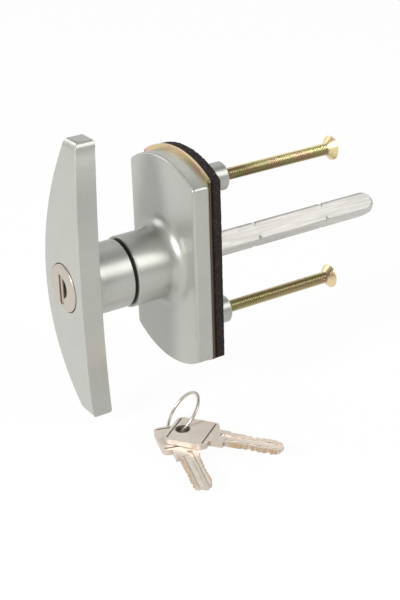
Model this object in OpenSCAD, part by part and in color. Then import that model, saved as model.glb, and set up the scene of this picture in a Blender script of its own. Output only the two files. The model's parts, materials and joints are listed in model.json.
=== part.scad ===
// Locking T handle for a garage door: it turns a square spindle that works the latch behind the door.
// A wafer lock in the handle pushes a bolt into the backplate's boss, so that the handle can't turn.
// Millimetres. +X is right, +Y goes into the door and +Z is up.
// The origin is on the spindle's axis, on the gasket's rear face, where it meets the door.

/* [Door fixing] */
// Distance between the centres of the two fixing lugs
fixing_centres = 57.15; // [52:0.05:62]
// Diameter of a lug where it passes through the door
lug_d = 11.4; // [10:0.1:13]
// Length of a lug behind the gasket
lug_reach = 15.6; // [14:0.1:30]
// Thread diameter of a fixing screw
screw_d = 5; // [4:0.5:6]
// Length of a fixing screw with its head
screw_len = 60; // [45:1:80]
// Diameter of the screw's countersunk head
screw_head_d = 10; // [8:0.1:12]
// Length of thread held in a lug
screw_hold = 7; // [5:0.5:8]

/* [Backplate] */
// Width of the backplate
plate_w = 46; // [42:0.5:56]
// Height of the backplate's straight sides
plate_side = 70.8; // [66:0.2:90]
// Rise of each curved end past the straight sides
plate_rise = 7; // [4:0.5:12]
// Depth of the backplate casting
plate_t = 6.75; // [5.75:0.25:9]
// Wall of the hollow backplate
plate_wall = 2.5; // [1.8:0.1:2.6]
// Rounding of the backplate's front edge
plate_edge = 1.4; // [0.3:0.1:1.6]
// Diameter of the boss
boss_d = 28.1; // [27.5:0.1:34]
// Length of the boss in front of the plate
boss_len = 19; // [17:0.5:26]
// Fillet where the boss meets the plate
boss_fillet = 5.5; // [1:0.5:6]

/* [Gasket and backing plate] */
// Thickness of the foam gasket
gasket_t = 4.2; // [2:0.1:6]
// Thickness of the steel backing plate
backing_t = 1.3; // [0.8:0.1:2]
// How far the gasket and the backing plate stand out past the backplate's straight sides
trim_side = 0.4; // [0.1:0.1:1]
// How far the gasket and the backing plate stand out past the backplate's curved ends
trim_end = 1.1; // [0.1:0.1:2]
// How far the gasket and the backing plate sit above the casting's middle
trim_lift = 0.9; // [0:0.1:1]

/* [T bar] */
// Length of the bar
bar_len = 113.4; // [90:0.2:140]
// Width of the bar at its middle
bar_mid_w = 28.6; // [28:0.2:34]
// Width of the bar at its tips
bar_tip_w = 7.8; // [7:0.2:14]
// Depth of the bar from front to back
bar_depth = 8.3; // [6.5:0.1:10]
// How far the bar's middle stands in front of its tips
bar_rise = 6.8; // [3:0.1:10]
// Rounding of the bar's long edges
bar_edge = 1; // [0.6:0.1:1.6]
// Rounding of the bar's tips
bar_tip_round = 2; // [1:0.1:2.4]

/* [Shank and spigot] */
// Diameter of the shank between the bar and the boss
shank_d = 26.6; // [25:0.1:27.4]
// Length of the shank
shank_len = 15.2; // [13:0.05:24]
// Gap between the shank and the boss, which the seal fills
seal_gap = 1.4; // [0.8:0.1:2.5]
// Diameter of the spigot that turns in the boss
spigot_d = 19.8; // [19.2:0.1:21]
// Outer diameter of the thrust washer behind the boss
washer_d = 27; // [25:0.5:30]
// Thickness of the thrust washer
washer_t = 0.8; // [0.5:0.1:1]
// Thickness of the circlip on the spigot
circlip_t = 1.2; // [0.8:0.1:1.3]

/* [Spindle] */
// Width across the flats of the square spindle
spindle_af = 8; // [7:0.1:9]
// Length of the spindle behind the gasket
spindle_reach = 89.5; // [72:0.5:120]
// Length of the spindle held in the spigot
spindle_hold = 14; // [12:0.5:15]
// Distance from the gasket to the first snap-off nick
nick_first = 29.8; // [27:0.1:36]
// Distance between the snap-off nicks
nick_pitch = 33.4; // [26:0.1:36]
// Depth of a nick at the spindle's corners
nick_depth = 0.9; // [0.4:0.1:1.2]
// Length over which the spindle's end is rounded
spindle_end_round = 6.4; // [3:0.1:6.6]
// Radius of the rounding of the spindle's end
spindle_end_arc = 8; // [8:0.1:12]
// Diameter of the pin that holds the spindle
spindle_pin_d = 3; // [2:0.1:3.5]

/* [Lock] */
// Diameter of the lock's face
face_d = 18.8; // [18.4:0.1:20.2]
// How far the lock's face stands proud of the bar
face_proud = 0.4; // [0.2:0.1:0.8]
// Thickness of the cap pressed over the plug's head
cap_t = 0.6; // [0.5:0.05:0.8]
// Thickness of the plug's head
plug_head_t = 3.2; // [3:0.1:3.6]
// Diameter of the plug
plug_d = 12; // [11.6:0.1:12.4]
// Outer diameter of the barrel round the plug
barrel_d = 16.4; // [16:0.1:16.8]
// Thickness of a wafer
wafer_t = 1.1; // [0.9:0.05:1.2]
// Distance between the wafers
wafer_pitch = 2.5; // [2:0.05:2.6]
// Width of a wafer
wafer_w = 5.6; // [5.2:0.1:5.8]
// How far a wafer stands out of the plug when no key holds it in
wafer_throw = 0.8; // [0.5:0.05:0.9]
// Width of the locking bolt
bolt_w = 6; // [5.4:0.1:7]
// Thickness of the locking bolt along the spindle's axis
bolt_t = 4.8; // [4:0.1:5.2]
// Distance of the drive pin from the plug's axis
drive_offset = 1.7; // [1.4:0.05:1.7]
// Diameter of the drive pin
drive_pin_d = 2.4; // [2:0.1:2.6]

/* [Keyhole] */
// Reach of the keyhole's straight left side from the plug's axis
keyhole_left = 2.9; // [2.8:0.1:3.2]
// Height of the keyhole's straight side above the plug's axis
keyhole_top = 4.8; // [4.4:0.1:5.2]
// Depth of the keyhole's straight side below the plug's axis
keyhole_low = 6.6; // [6:0.1:6.8]
// Reach of the keyhole's round right side from the plug's axis
keyhole_bulge = 3.1; // [2.8:0.1:3.4]
// Height of the keyhole's round right side
keyhole_bulge_h = 8.4; // [8:0.1:8.6]

/* [Keys] */
// Length of a key's bow
bow_len = 17.5; // [15:0.1:26]
// Width of a key's bow
bow_w = 17.2; // [13:0.2:22]
// Thickness of a key's bow
bow_t = 2.2; // [1.8:0.1:2.2]
// Length of a key's blade past its collar
blade_len = 22.2; // [21.4:0.2:28]
// Width of a key's blade
blade_w = 7.2; // [6.6:0.1:7.3]
// Thickness of a key's blade
blade_t = 2; // [1.6:0.1:2.2]
// Diameter of the hole in a key's bow
key_hole_d = 5.6; // [5.4:0.1:6]
// Distance from the bow's end to the middle of the hole
key_hole_in = 4.9; // [4.8:0.1:7]
// Diameter of the key ring at the middle of its wire
key_ring_d = 18.6; // [18.4:0.1:18.8]
// Diameter of the key ring's wire
key_wire_d = 1.3; // [1:0.1:1.4]

/* [Hidden] */
$fn = 96;

// Clearances
cut = 1;
running_fit = 0.06;
slide_gap = 0.15;
axial_play = 0.1;
loose_gap = 0.3;
seat_fit = 0.04;

// Radii
lug_r = lug_d / 2;
lug_root_r = lug_r + 0.4;
boss_r = boss_d / 2;
shank_r = shank_d / 2;
spigot_r = spigot_d / 2;
bore_r = spigot_r + running_fit;
centre_hole_r = spigot_r + loose_gap;
circlip_groove_r = spigot_r - 0.9;
circlip_r = spigot_r + 1.9;
face_r = face_d / 2;
face_bore_r = face_r + loose_gap;
cap_skirt = 0.5;
head_r = face_r - cap_skirt - seat_fit;
plug_r = plug_d / 2;
barrel_r = barrel_d / 2;
barrel_bore_r = plug_r + running_fit;
wafer_groove_r = plug_r + wafer_throw + loose_gap;
plug_groove_r = plug_r - 0.8;
plug_clip_r = plug_r + 1.1;
drive_r = drive_pin_d / 2;
spindle_pin_r = spindle_pin_d / 2;

// Levels along the spindle's axis, from the door forwards
y_gasket = -gasket_t;
y_plate_rear = y_gasket - backing_t;
y_plate_front = y_plate_rear - plate_t;
y_recess = y_plate_front + plate_wall;
y_boss_front = y_plate_front - boss_len;
y_shoulder = y_boss_front - seal_gap;
y_bar_back = y_shoulder - shank_len;
y_bar_front = y_bar_back - bar_depth;

// Levels of the circlip and the spigot's end, behind the boss
y_circlip = y_recess + washer_t + axial_play;
spigot_lip = 1;
y_spigot_end = y_circlip + circlip_t + spigot_lip;
y_socket = y_spigot_end - spindle_hold;
y_spindle_pin = (y_socket + y_recess) / 2;

// Levels of the lock: its front follows the bar, and its bolt follows the boss
y_face = y_bar_front - face_proud;
y_cap_inner = y_face + cap_t;
y_head_rear = y_cap_inner + plug_head_t;
y_seat = y_head_rear + axial_play;
bolt_setback = 2;
bolt_web = 1;
plug_end_gap = 0.3;
plug_lip = 0.7;
plug_clip_t = 0.6;
y_bolt = y_boss_front + bolt_setback;
y_bolt_rear = y_bolt + bolt_t + 2 * slide_gap;
y_lock_floor = y_bolt - bolt_web;
y_plug_end = y_lock_floor - plug_end_gap;
y_plug_clip = y_plug_end - plug_lip - plug_clip_t;
y_barrel_end = y_plug_clip - axial_play;

// The plate's outline: straight sides between two end arcs
plate_half = plate_w / 2;
plate_top = plate_side / 2 + plate_rise;
end_r = arc_radius(plate_half, plate_rise);
end_centre = plate_top - end_r;

// The bar's outline: two side arcs that meet near the tips, on an arch that stands forward at the middle
bar_half = bar_len / 2;
bar_side_r = arc_radius(bar_half, (bar_mid_w - bar_tip_w) / 2);
bar_arch_r = arc_radius(bar_half, bar_rise);
bar_body_steps = 28;
bar_tip_steps = 4;
bar_corner_steps = 4;
shank_fillet = 0.9;

// The drive pin starts left of the plug's axis and ends, a quarter turn later, right of it
drive_angle = 45;
drive_x = -drive_offset * sin(drive_angle);
drive_z = drive_offset * cos(drive_angle);
bolt_throw = -2 * drive_x;
bolt_heel_wall = 3.2;
bolt_heel = spigot_r - bolt_heel_wall;
bolt_groove_r = spigot_r + bolt_throw + loose_gap;
bolt_groove_w = bolt_w + 4 * slide_gap;
drive_pin_seat = 3;

// Wafers, alternately sprung up and down
wafer_count = 6;
wafer_start = 2.9;
wafer_tab = 1.5;
wafer_tab_h = 1;
wafer_spring_r = 0.5;
wafer_spring_len = 2.4;
keyway_w = blade_t + 0.4;
keyway_h = blade_w + 0.2;

// The sprung shutter behind the keyhole
shutter_t = 0.4;
shutter_sunk = 0.2;
shutter_slot = 1;
shutter_pin_r = 0.3;
shutter_pin_reach = 0.8;
shutter_seat = shutter_pin_r + running_fit;
shutter_pin_room = shutter_pin_reach + loose_gap;
shutter_knuckle = 0.3;
shutter_axis_x = 0.6 - keyhole_left;
shutter_axis_y = y_cap_inner + shutter_pin_r + axial_play;
shutter_edge = 0.2;
shutter_pocket = 2.7;
keyhole_foot = 1.7;
keyhole_foot_h = 0.5;

// Fixing screws
screw_r = screw_d / 2 - seat_fit;
screw_head_r = screw_head_d / 2;
screw_rim = 0.4;
screw_tip = 0.6;
recess_w = 1.1;
recess_span = 0.56 * screw_head_d;
recess_depth = 2.2;
tap_spare = 0.4;
tap_depth = screw_hold + tap_spare;
y_screw_tip = lug_reach - screw_hold;
y_screw_end = y_screw_tip + screw_len;

// Where the keys and their ring lie: hand-picked places in front of the backplate, below the bar
upper_key_x = 33.6;
upper_key_y = -27;
upper_key_z = -55.8;
lower_key_left = 3.3;
lower_key_forward = 0.5;
key_clearance = 0.2;
key_ring_left = 8.6;
key_ring_back = 5.6;
key_ring_up = 1.9;
upper_key_heading = 36;
lower_key_heading = -17.5;
upper_key_hole = [upper_key_x, upper_key_y, upper_key_z];
lower_key_hole = upper_key_hole - [lower_key_left, lower_key_forward, bow_t + key_clearance];
key_ring_centre = upper_key_hole + [-key_ring_left, key_ring_back, key_ring_up];
key_ring_lean = 50;
key_ring_heading = 248;
key_ring_gap = 5;
key_cuts = [0.5, 1, 0.7, 0.3, 0.9, 0.6];
key_cut_flat = 0.7;
bow_round = 2.4;
bow_line_w = 0.6;
bow_line_deep = 0.35;
bow_line_far = 1.4;
bow_line_near = 1.8;
bow_line_end = 1.2;
collar_len = 5.4;
collar_step = 1.3;
collar_groove = 3;
blade_groove_w = 1.8;
blade_groove_deep = 0.5;
blade_tip = 2.2;

paint = [0.75, 0.76, 0.74];
zinc = [0.82, 0.82, 0.8];
steel = [0.9, 0.9, 0.88];
gold = [0.8, 0.68, 0.38];
nickel = [0.82, 0.77, 0.73];
brass = [0.78, 0.66, 0.36];
black = [0.12, 0.11, 0.11];

// Radius of the arc that rises by rise at the middle of a chord of twice half_chord
function arc_radius(half_chord, rise) = (half_chord * half_chord + rise * rise) / (2 * rise);

// Drop of an arc of radius r at a distance from its highest point
function sag(r, distance) = r - sqrt(r * r - distance * distance);

function bar_half_w(z) = bar_mid_w / 2 - sag(bar_side_r, z);
function bar_front(z) = y_bar_front + sag(bar_arch_r, z);
function wafer_y(i) = y_seat + wafer_start + i * wafer_pitch;

// A cylinder along Y
module rod(r, y0, y1, x = 0, z = 0)
    translate([x, y0, z])
        rotate([-90, 0, 0])
            cylinder(r = r, h = y1 - y0);

// A profile of [radius, distance along Y], turned about the Y axis
module turned()
    rotate([-90, 0, 0])
        rotate_extrude()
            children();

module tube(r_out, r_in, y0, y1)
    turned()
        translate([r_in, y0])
            square([r_out - r_in, y1 - y0]);

module block(x, y, z)
    translate([x[0], y[0], z[0]])
        cube([x[1] - x[0], y[1] - y[0], z[1] - z[0]]);

module quarter_turns()
    for (a = [0:90:270])
        rotate([0, a, 0])
            children();

// A rectangle from y0 to y1, whose corners at y0 and +X are rounded
module rounded_at_front(x0, x1, y0, y1, r) {
    translate([x0, y0 + r])
        square([x1 - x0, y1 - y0 - r]);
    translate([x0, y0])
        square([x1 - x0 - r, y1 - y0]);
    translate([x1 - r, y0 + r])
        circle(r);
}

// The outline of the backplate as a solid with a rounded front edge, drawn in by inset
module plate_solid(inset, y0, y1, edge) {
    side = plate_half - inset;
    end = end_r - inset;
    intersection() {
        translate([0, 0, -plate_top])
            linear_extrude(2 * plate_top) {
                rounded_at_front(0, side, y0, y1, edge);
                mirror([1, 0])
                    rounded_at_front(0, side, y0, y1, edge);
            }
        union()
            for (s = [0, 1])
                mirror([0, 0, s])
                    intersection() {
                        translate([0, 0, end_centre])
                            turned()
                                rounded_at_front(0, end, y0, y1, edge);
                        block([-plate_w, plate_w], [y0 - cut, y1 + cut], [-cut, plate_top + cut]);
                    }
    }
}

// The backplate's outline as a flat sheet, let out at its sides and its ends
module plate_sheet(side_out, end_out, y0, y1) {
    side = plate_half + side_out;
    end = end_r + end_out;
    top = end_centre + end;
    intersection() {
        block([-side, side], [y0, y1], [-top, top]);
        union()
            for (s = [0, 1])
                mirror([0, 0, s])
                    intersection() {
                        rod(end, y0, y1, 0, end_centre);
                        block([-plate_w, plate_w], [y0 - cut, y1 + cut], [-cut, top + cut]);
                    }
    }
}

module at_lugs()
    for (s = [-1, 1])
        translate([0, 0, s * fixing_centres / 2])
            children();

// Boss with a fillet at its foot and a rounded front rim
module boss() {
    rim = 0.5;
    turned() {
        rounded_at_front(0, boss_r, y_boss_front, y_recess, rim);
        difference() {
            translate([boss_r - cut, y_plate_front - boss_fillet])
                square([boss_fillet + cut, boss_fillet + plate_wall / 2]);
            translate([boss_r + boss_fillet, y_plate_front - boss_fillet])
                circle(boss_fillet);
        }
    }
}

// Tapped lug: a wider root up to the door's face, then the part that goes through the door
module lug() {
    rod(lug_root_r, y_recess - plate_wall / 2, 0);
    turned()
        polygon([
            [0, -cut], [lug_r, -cut], [lug_r, lug_reach - screw_tip],
            [lug_r - screw_tip, lug_reach], [0, lug_reach]
        ]);
}

module backplate()
    color(paint)
        difference() {
            union() {
                difference() {
                    plate_solid(0, y_plate_front, y_plate_rear, plate_edge);
                    plate_sheet(-plate_wall, -plate_wall, y_recess, y_plate_rear + cut);
                }
                boss();
                at_lugs()
                    lug();
            }
            rod(bore_r, y_boss_front - cut, y_recess + cut);
            quarter_turns()
                block([0, bolt_groove_r], [y_bolt - loose_gap, y_recess + cut],
                    [-bolt_groove_w / 2, bolt_groove_w / 2]);
            at_lugs()
                rod(screw_d / 2, lug_reach - tap_depth, lug_reach + cut);
        }

// Holes that the backing plate and the gasket leave for the lugs and the spigot
module door_side_holes(y0, y1) {
    at_lugs()
        rod(lug_root_r + loose_gap, y0 - cut, y1 + cut);
    rod(centre_hole_r, y0 - cut, y1 + cut);
}

module backing_plate()
    color(gold)
        difference() {
            translate([0, 0, trim_lift])
                plate_sheet(trim_side, trim_end, y_plate_rear, y_gasket);
            door_side_holes(y_plate_rear, y_gasket);
        }

module gasket()
    color(black)
        difference() {
            translate([0, 0, trim_lift])
                plate_sheet(trim_side, trim_end, y_gasket, 0);
            door_side_holes(y_gasket, 0);
        }

// Countersunk screw whose tip is held in a lug
module fixing_screw()
    color(gold)
        difference() {
            turned()
                polygon([
                    [0, y_screw_tip], [screw_r - screw_tip, y_screw_tip],
                    [screw_r, y_screw_tip + screw_tip],
                    [screw_r, y_screw_end - screw_rim - (screw_head_r - screw_r)],
                    [screw_head_r, y_screw_end - screw_rim], [screw_head_r, y_screw_end], [0, y_screw_end]
                ]);
            for (a = [0, 90])
                rotate([0, a, 0])
                    block([-recess_span / 2, recess_span / 2],
                        [y_screw_end - recess_depth, y_screw_end + cut], [-recess_w / 2, recess_w / 2]);
        }

module upper_fixing_screw()
    translate([0, 0, fixing_centres / 2])
        fixing_screw();

module lower_fixing_screw()
    translate([0, 0, -fixing_centres / 2])
        fixing_screw();

module neck_seal()
    color(black)
        tube(shank_r - loose_gap, spigot_r + loose_gap, y_shoulder + axial_play, y_boss_front);

module thrust_washer()
    color(steel)
        tube(washer_d / 2, spigot_r + loose_gap, y_recess, y_recess + washer_t);

// One ring of the bar: a rounded rectangle at height z, drawn in by inset
function bar_ring(z, inset) =
    let (
        w = bar_half_w(z) - inset - bar_edge,
        d = bar_depth / 2 - inset - bar_edge,
        middle = bar_front(z) + bar_depth / 2
    )
    [
        for (k = [0:3], j = [0:bar_corner_steps])
            let (
                a = 90 * (k + j / bar_corner_steps),
                sx = k == 0 || k == 3 ? 1 : -1,
                sy = k < 2 ? 1 : -1
            )
            [sx * w + bar_edge * cos(a), middle + sy * d + bar_edge * sin(a), z]
    ];

// The rings' heights and insets, from the lower tip to the upper one
function tip_station(i) =
    let (a = 90 * i / bar_tip_steps)
    [bar_half - bar_tip_round * (1 - sin(a)), bar_tip_round * (1 - cos(a))];

function bar_stations() =
    let (reach = bar_half - bar_tip_round)
    concat(
        [for (i = [bar_tip_steps:-1:1]) [-tip_station(i)[0], tip_station(i)[1]]],
        [for (i = [0:bar_body_steps]) [reach * (2 * i / bar_body_steps - 1), 0]],
        [for (i = [1:bar_tip_steps]) tip_station(i)]
    );

// Arched bar lofted through its rings
module t_bar() {
    rings = [for (s = bar_stations()) bar_ring(s[0], s[1])];
    n = len(rings[0]);
    last = len(rings) - 1;
    sides = [
        for (i = [0:last - 1], j = [0:n - 1])
            let (
                a = i * n + j,
                b = i * n + (j + 1) % n
            )
            each [[a, a + n, b + n], [a, b + n, b]]
    ];
    caps = [[for (j = [0:n - 1]) j], [for (j = [n - 1:-1:0]) last * n + j]];
    polyhedron([for (r = rings) each r], concat(sides, caps));
}

// Shank and spigot, with a fillet behind the bar and a groove for the circlip
module shank() {
    rod(shank_r, y_bar_front + bar_depth / 2, y_shoulder);
    turned()
        difference() {
            translate([shank_r - cut, y_bar_back - shank_fillet])
                square([shank_fillet + cut, 2 * shank_fillet]);
            translate([shank_r + shank_fillet, y_bar_back + shank_fillet])
                circle(shank_fillet);
        }
    difference() {
        rod(spigot_r, y_shoulder - cut, y_spigot_end);
        tube(spigot_r + cut, circlip_groove_r, y_circlip, y_circlip + circlip_t);
    }
}

module square_bar(af, y0, y1)
    rotate([0, 45, 0])
        block([-af / 2, af / 2], [y0, y1], [-af / 2, af / 2]);

module handle()
    color(paint)
        difference() {
            union() {
                t_bar();
                shank();
            }
            rod(face_bore_r, y_bar_front - bar_depth, y_seat);
            rod(barrel_r + seat_fit, y_seat - cut, y_lock_floor);
            rod(drive_offset + drive_r + loose_gap, y_lock_floor - cut, y_bolt + cut);
            block([-bolt_heel - loose_gap, spigot_r + cut], [y_bolt, y_bolt_rear],
                [-bolt_w / 2 - slide_gap, bolt_w / 2 + slide_gap]);
            square_bar(spindle_af + 2 * seat_fit, y_socket, y_spigot_end + cut);
            at_spindle_pin()
                cylinder(r = spindle_pin_r + seat_fit, h = 2 * spigot_d, center = true);
        }

// The spindle's pin lies square to a flat of the spindle
module at_spindle_pin()
    translate([0, y_spindle_pin, 0])
        rotate([0, 45, 0])
            children();

module spindle() {
    corner = spindle_af / sqrt(2);
    softened = corner - 0.35;
    spindle_len = spindle_reach - y_socket;
    color(steel)
        difference() {
            intersection() {
                square_bar(spindle_af, y_socket + axial_play, spindle_reach);
                turned()
                    intersection() {
                        union() {
                            translate([0, y_socket])
                                square([softened, spindle_len - spindle_end_round]);
                            translate([softened - spindle_end_arc, spindle_reach - spindle_end_round])
                                circle(spindle_end_arc);
                        }
                        translate([0, y_socket])
                            square([softened, spindle_len]);
                    }
            }
            for (i = [0, 1])
                turned()
                    polygon([
                        [softened - nick_depth, nick_first + i * nick_pitch],
                        [corner + cut, nick_first + i * nick_pitch - nick_depth - cut],
                        [corner + cut, nick_first + i * nick_pitch + nick_depth + cut]
                    ]);
            at_spindle_pin()
                cylinder(r = spindle_pin_r + seat_fit, h = 2 * spindle_af, center = true);
        }
}

module spindle_pin()
    color(steel)
        at_spindle_pin()
            cylinder(r = spindle_pin_r, h = 2 * (spigot_r - loose_gap), center = true);

// Open ring with an eye at each end
module circlip() {
    eye_r = 1.5;
    eye_angle = 24;
    eye_out = circlip_groove_r + seat_fit + eye_r;
    color(steel)
        difference() {
            union() {
                tube(circlip_r, circlip_groove_r + seat_fit, y_circlip, y_circlip + circlip_t);
                for (s = [-1, 1])
                    rotate([0, s * eye_angle, 0])
                        rod(eye_r, y_circlip, y_circlip + circlip_t, 0, eye_out);
            }
            block([-eye_r, eye_r], [y_circlip - cut, y_circlip + circlip_t + cut], [0, circlip_r + cut]);
            for (s = [-1, 1])
                rotate([0, s * eye_angle, 0])
                    rod(eye_r / 3, y_circlip - cut, y_circlip + circlip_t + cut, 0, eye_out);
        }
}

// Barrel with four grooves that the wafers lock into
module lock_barrel()
    color(brass)
        difference() {
            tube(barrel_r, barrel_bore_r, y_seat, y_barrel_end);
            quarter_turns()
                block([-wafer_w / 2 - loose_gap, wafer_w / 2 + loose_gap],
                    [wafer_y(0) - loose_gap, y_barrel_end + cut], [0, wafer_groove_r]);
        }

// Slot for one wafer, with room at its side for the wafer's tab and spring
module wafer_slot(y) {
    slot_y = [y - axial_play, y + wafer_t + axial_play];
    block([-wafer_w / 2 - axial_play, wafer_w / 2 + axial_play], slot_y, [-plug_d, plug_d]);
    block([0, wafer_w / 2 + wafer_tab + axial_play], slot_y,
        [-wafer_tab_h / 2 - wafer_spring_len - axial_play, wafer_tab_h / 2 + wafer_throw + axial_play]);
}

module lock_plug()
    color(nickel)
        difference() {
            union() {
                rod(head_r, y_cap_inner, y_head_rear);
                rod(plug_r, y_head_rear - cut, y_plug_end);
            }
            tube(plug_r + cut, plug_groove_r, y_plug_clip, y_plug_clip + plug_clip_t);
            block([-keyway_w / 2, keyway_w / 2], [y_cap_inner - cut, y_face + blade_len + loose_gap],
                [-keyway_h / 2, keyway_h / 2]);
            block([-keyhole_left - axial_play, keyhole_bulge + axial_play],
                [y_cap_inner - cut, y_cap_inner + shutter_pocket],
                [-keyhole_low - loose_gap, keyhole_top + loose_gap]);
            block([shutter_axis_x - shutter_seat, shutter_axis_x + shutter_seat],
                [y_cap_inner - cut, shutter_axis_y + shutter_seat],
                [-keyhole_low - shutter_pin_room, keyhole_top + shutter_pin_room]);
            for (i = [0:wafer_count - 1])
                mirror([0, 0, i % 2])
                    wafer_slot(wafer_y(i));
            rod(drive_r + seat_fit, y_plug_end - drive_pin_seat, y_plug_end + cut, drive_x, drive_z);
        }

// Keyhole: a straight slot with a foot on the left, and a round side on the right
module keyhole() {
    bulge_r = arc_radius(keyhole_bulge_h / 2, keyhole_bulge);
    y = [y_face - cut, y_cap_inner + cut];
    block([-keyhole_left, 0], y, [-keyhole_low, keyhole_top]);
    block([-keyhole_left, -keyhole_left + keyhole_foot], y,
        [-keyhole_low - keyhole_foot_h, -keyhole_low + cut]);
    intersection() {
        rod(bulge_r, y[0], y[1], keyhole_bulge - bulge_r, 0);
        block([-cut / 2, keyhole_bulge + cut], y, [-keyhole_bulge_h / 2, keyhole_bulge_h / 2]);
    }
}

// Pressed cap with a skirt round the plug's head
module face_cap() {
    rim = 0.35;
    color(nickel)
        difference() {
            turned()
                rounded_at_front(0, face_r, y_face, y_head_rear, rim);
            rod(face_r - cap_skirt, y_cap_inner, y_head_rear + cut);
            keyhole();
        }
}

module plug_clip()
    color(steel)
        difference() {
            tube(plug_clip_r, plug_groove_r + seat_fit, y_plug_clip, y_plug_clip + plug_clip_t);
            block([-plug_groove_r / 2, plug_groove_r / 2], [y_plug_clip - cut, y_plug_end],
                [-plug_clip_r - cut, 0]);
        }

module drive_pin()
    color(steel)
        rod(drive_r, y_plug_end - drive_pin_seat + axial_play, y_bolt + bolt_t - loose_gap,
            drive_x, drive_z);

// Flap behind the keyhole: its left edge turns on a pin, and a key pushes its right edge in
module key_shutter() {
    low = -keyhole_low + shutter_edge;
    top = keyhole_top - shutter_edge;
    front = y_face + shutter_sunk;
    color(nickel) {
        block([-keyhole_left + shutter_slot, -shutter_edge], [front, front + shutter_t], [low, top]);
        block([shutter_axis_x - shutter_knuckle, shutter_axis_x + 2.5 * shutter_knuckle],
            [front + shutter_t - running_fit, shutter_axis_y + shutter_knuckle], [low, top]);
        translate([shutter_axis_x, shutter_axis_y, -keyhole_low - shutter_pin_reach])
            cylinder(r = shutter_pin_r, h = keyhole_low + keyhole_top + 2 * shutter_pin_reach);
    }
}

// Leaf spring that presses on the shutter's knuckle
module shutter_spring() {
    leaf_t = 0.25;
    leaf_h = 4;
    y0 = shutter_axis_y + 2 * shutter_knuckle;
    color(steel)
        block([-keyhole_left - axial_play, -keyhole_left - axial_play + leaf_t],
            [y0, y_cap_inner + shutter_pocket], [-leaf_h / 2, leaf_h / 2]);
}

// A wafer: its ends follow the plug, a cut of the key holds its window down and its tab sits on a spring
module wafer(i) {
    y = wafer_y(i);
    y_both = [y, y + wafer_t];
    color(brass)
        difference() {
            union() {
                intersection() {
                    block([-wafer_w / 2, wafer_w / 2], y_both, [-plug_d, plug_d]);
                    rod(plug_r - running_fit, y, y + wafer_t);
                }
                block([0, wafer_w / 2 + wafer_tab], y_both, [-wafer_tab_h / 2, wafer_tab_h / 2]);
            }
            block([-keyway_w / 2, keyway_w / 2], [y - cut, y + wafer_t + cut],
                [key_cuts[i] - keyway_h / 2, keyway_h / 2]);
        }
}

module wafer_spring(y)
    color(steel)
        translate([(wafer_w + wafer_tab) / 2, y + wafer_t / 2, -wafer_tab_h / 2 - wafer_spring_len])
            cylinder(r = wafer_spring_r, h = wafer_spring_len - running_fit);

module upper_wafers()
    for (i = [0:2:wafer_count - 1])
        wafer(i);

module lower_wafers()
    for (i = [1:2:wafer_count - 1])
        mirror([0, 0, 1])
            wafer(i);

module upper_wafer_springs()
    for (i = [0:2:wafer_count - 1])
        wafer_spring(wafer_y(i));

module lower_wafer_springs()
    for (i = [1:2:wafer_count - 1])
        mirror([0, 0, 1])
            wafer_spring(wafer_y(i));

// Bolt that slides out of the spigot into the boss, with a fork round the drive pin
module locking_bolt()
    color(steel)
        difference() {
            intersection() {
                block([-bolt_heel, spigot_d], [y_bolt + slide_gap, y_bolt + slide_gap + bolt_t],
                    [-bolt_w / 2, bolt_w / 2]);
                rod(spigot_r - slide_gap, y_bolt, y_bolt_rear);
            }
            block([drive_x - drive_r - slide_gap, drive_x + drive_r + slide_gap],
                [y_bolt - cut, y_bolt_rear + cut], [drive_z - drive_r - loose_gap, bolt_w]);
        }

// Cut in the blade's edge that holds one wafer flush
module key_cut(i) {
    x = bow_len + collar_len + wafer_y(i) + wafer_t / 2 - y_face;
    low = blade_w / 2 - key_cuts[i];
    spread = key_cut_flat / 2 + key_cuts[i] + cut;
    polygon([
        [x - key_cut_flat / 2, low], [x + key_cut_flat / 2, low],
        [x + spread, blade_w / 2 + cut], [x - spread, blade_w / 2 + cut]
    ]);
}

// The blade's outline, with the same cuts in both edges, so that the key works either way up
module blade() {
    end = bow_len + collar_len + blade_len;
    difference() {
        polygon([
            [bow_len, -blade_w / 2], [end - blade_tip, -blade_w / 2], [end, blade_tip - blade_w / 2],
            [end, blade_w / 2 - blade_tip], [end - blade_tip, blade_w / 2], [bow_len, blade_w / 2]
        ]);
        for (s = [0, 1], i = [0:wafer_count - 1])
            mirror([0, s])
                key_cut(i);
    }
}

module bow() {
    for (x = [bow_round, bow_len - bow_round], s = [-1, 1])
        translate([x, s * (bow_w / 2 - bow_round)])
            circle(bow_round);
    translate([0, bow_round - bow_w / 2])
        square([bow_len, bow_w - 2 * bow_round]);
    translate([bow_round, -bow_w / 2])
        square([bow_len - 2 * bow_round, bow_w]);
}

// Flat key along X: a bow with a hole and a line across each end, a stepped collar and a grooved blade
module flat_key()
    color(nickel)
        difference() {
            union() {
                translate([0, 0, -bow_t / 2])
                    linear_extrude(bow_t)
                        bow();
                translate([bow_len - cut, -blade_w / 2 - collar_step, -bow_t / 2])
                    cube([collar_len + cut, blade_w + 1.5 * collar_step, bow_t]);
                translate([0, 0, -blade_t / 2])
                    linear_extrude(blade_t)
                        blade();
            }
            translate([key_hole_in, 0, -bow_t])
                cylinder(d = key_hole_d, h = 2 * bow_t);
            for (s = [-1, 1]) {
                for (x = [bow_line_far, bow_len - bow_line_near])
                    translate([x, 0, s * bow_t / 2])
                        cube([bow_line_w, bow_w - 2 * bow_line_end, 2 * bow_line_deep], center = true);
                translate([bow_len + collar_len, s * blade_groove_w / 2, s * blade_t / 2])
                    translate([-collar_groove, -blade_groove_w / 2, -blade_groove_deep])
                        cube([blade_len + collar_groove + cut, blade_groove_w, 2 * blade_groove_deep]);
            }
        }

module key_at(hole, heading)
    translate(hole)
        rotate([0, 0, heading])
            translate([-key_hole_in, 0, 0])
                flat_key();

module upper_key()
    key_at(upper_key_hole, upper_key_heading);

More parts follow.
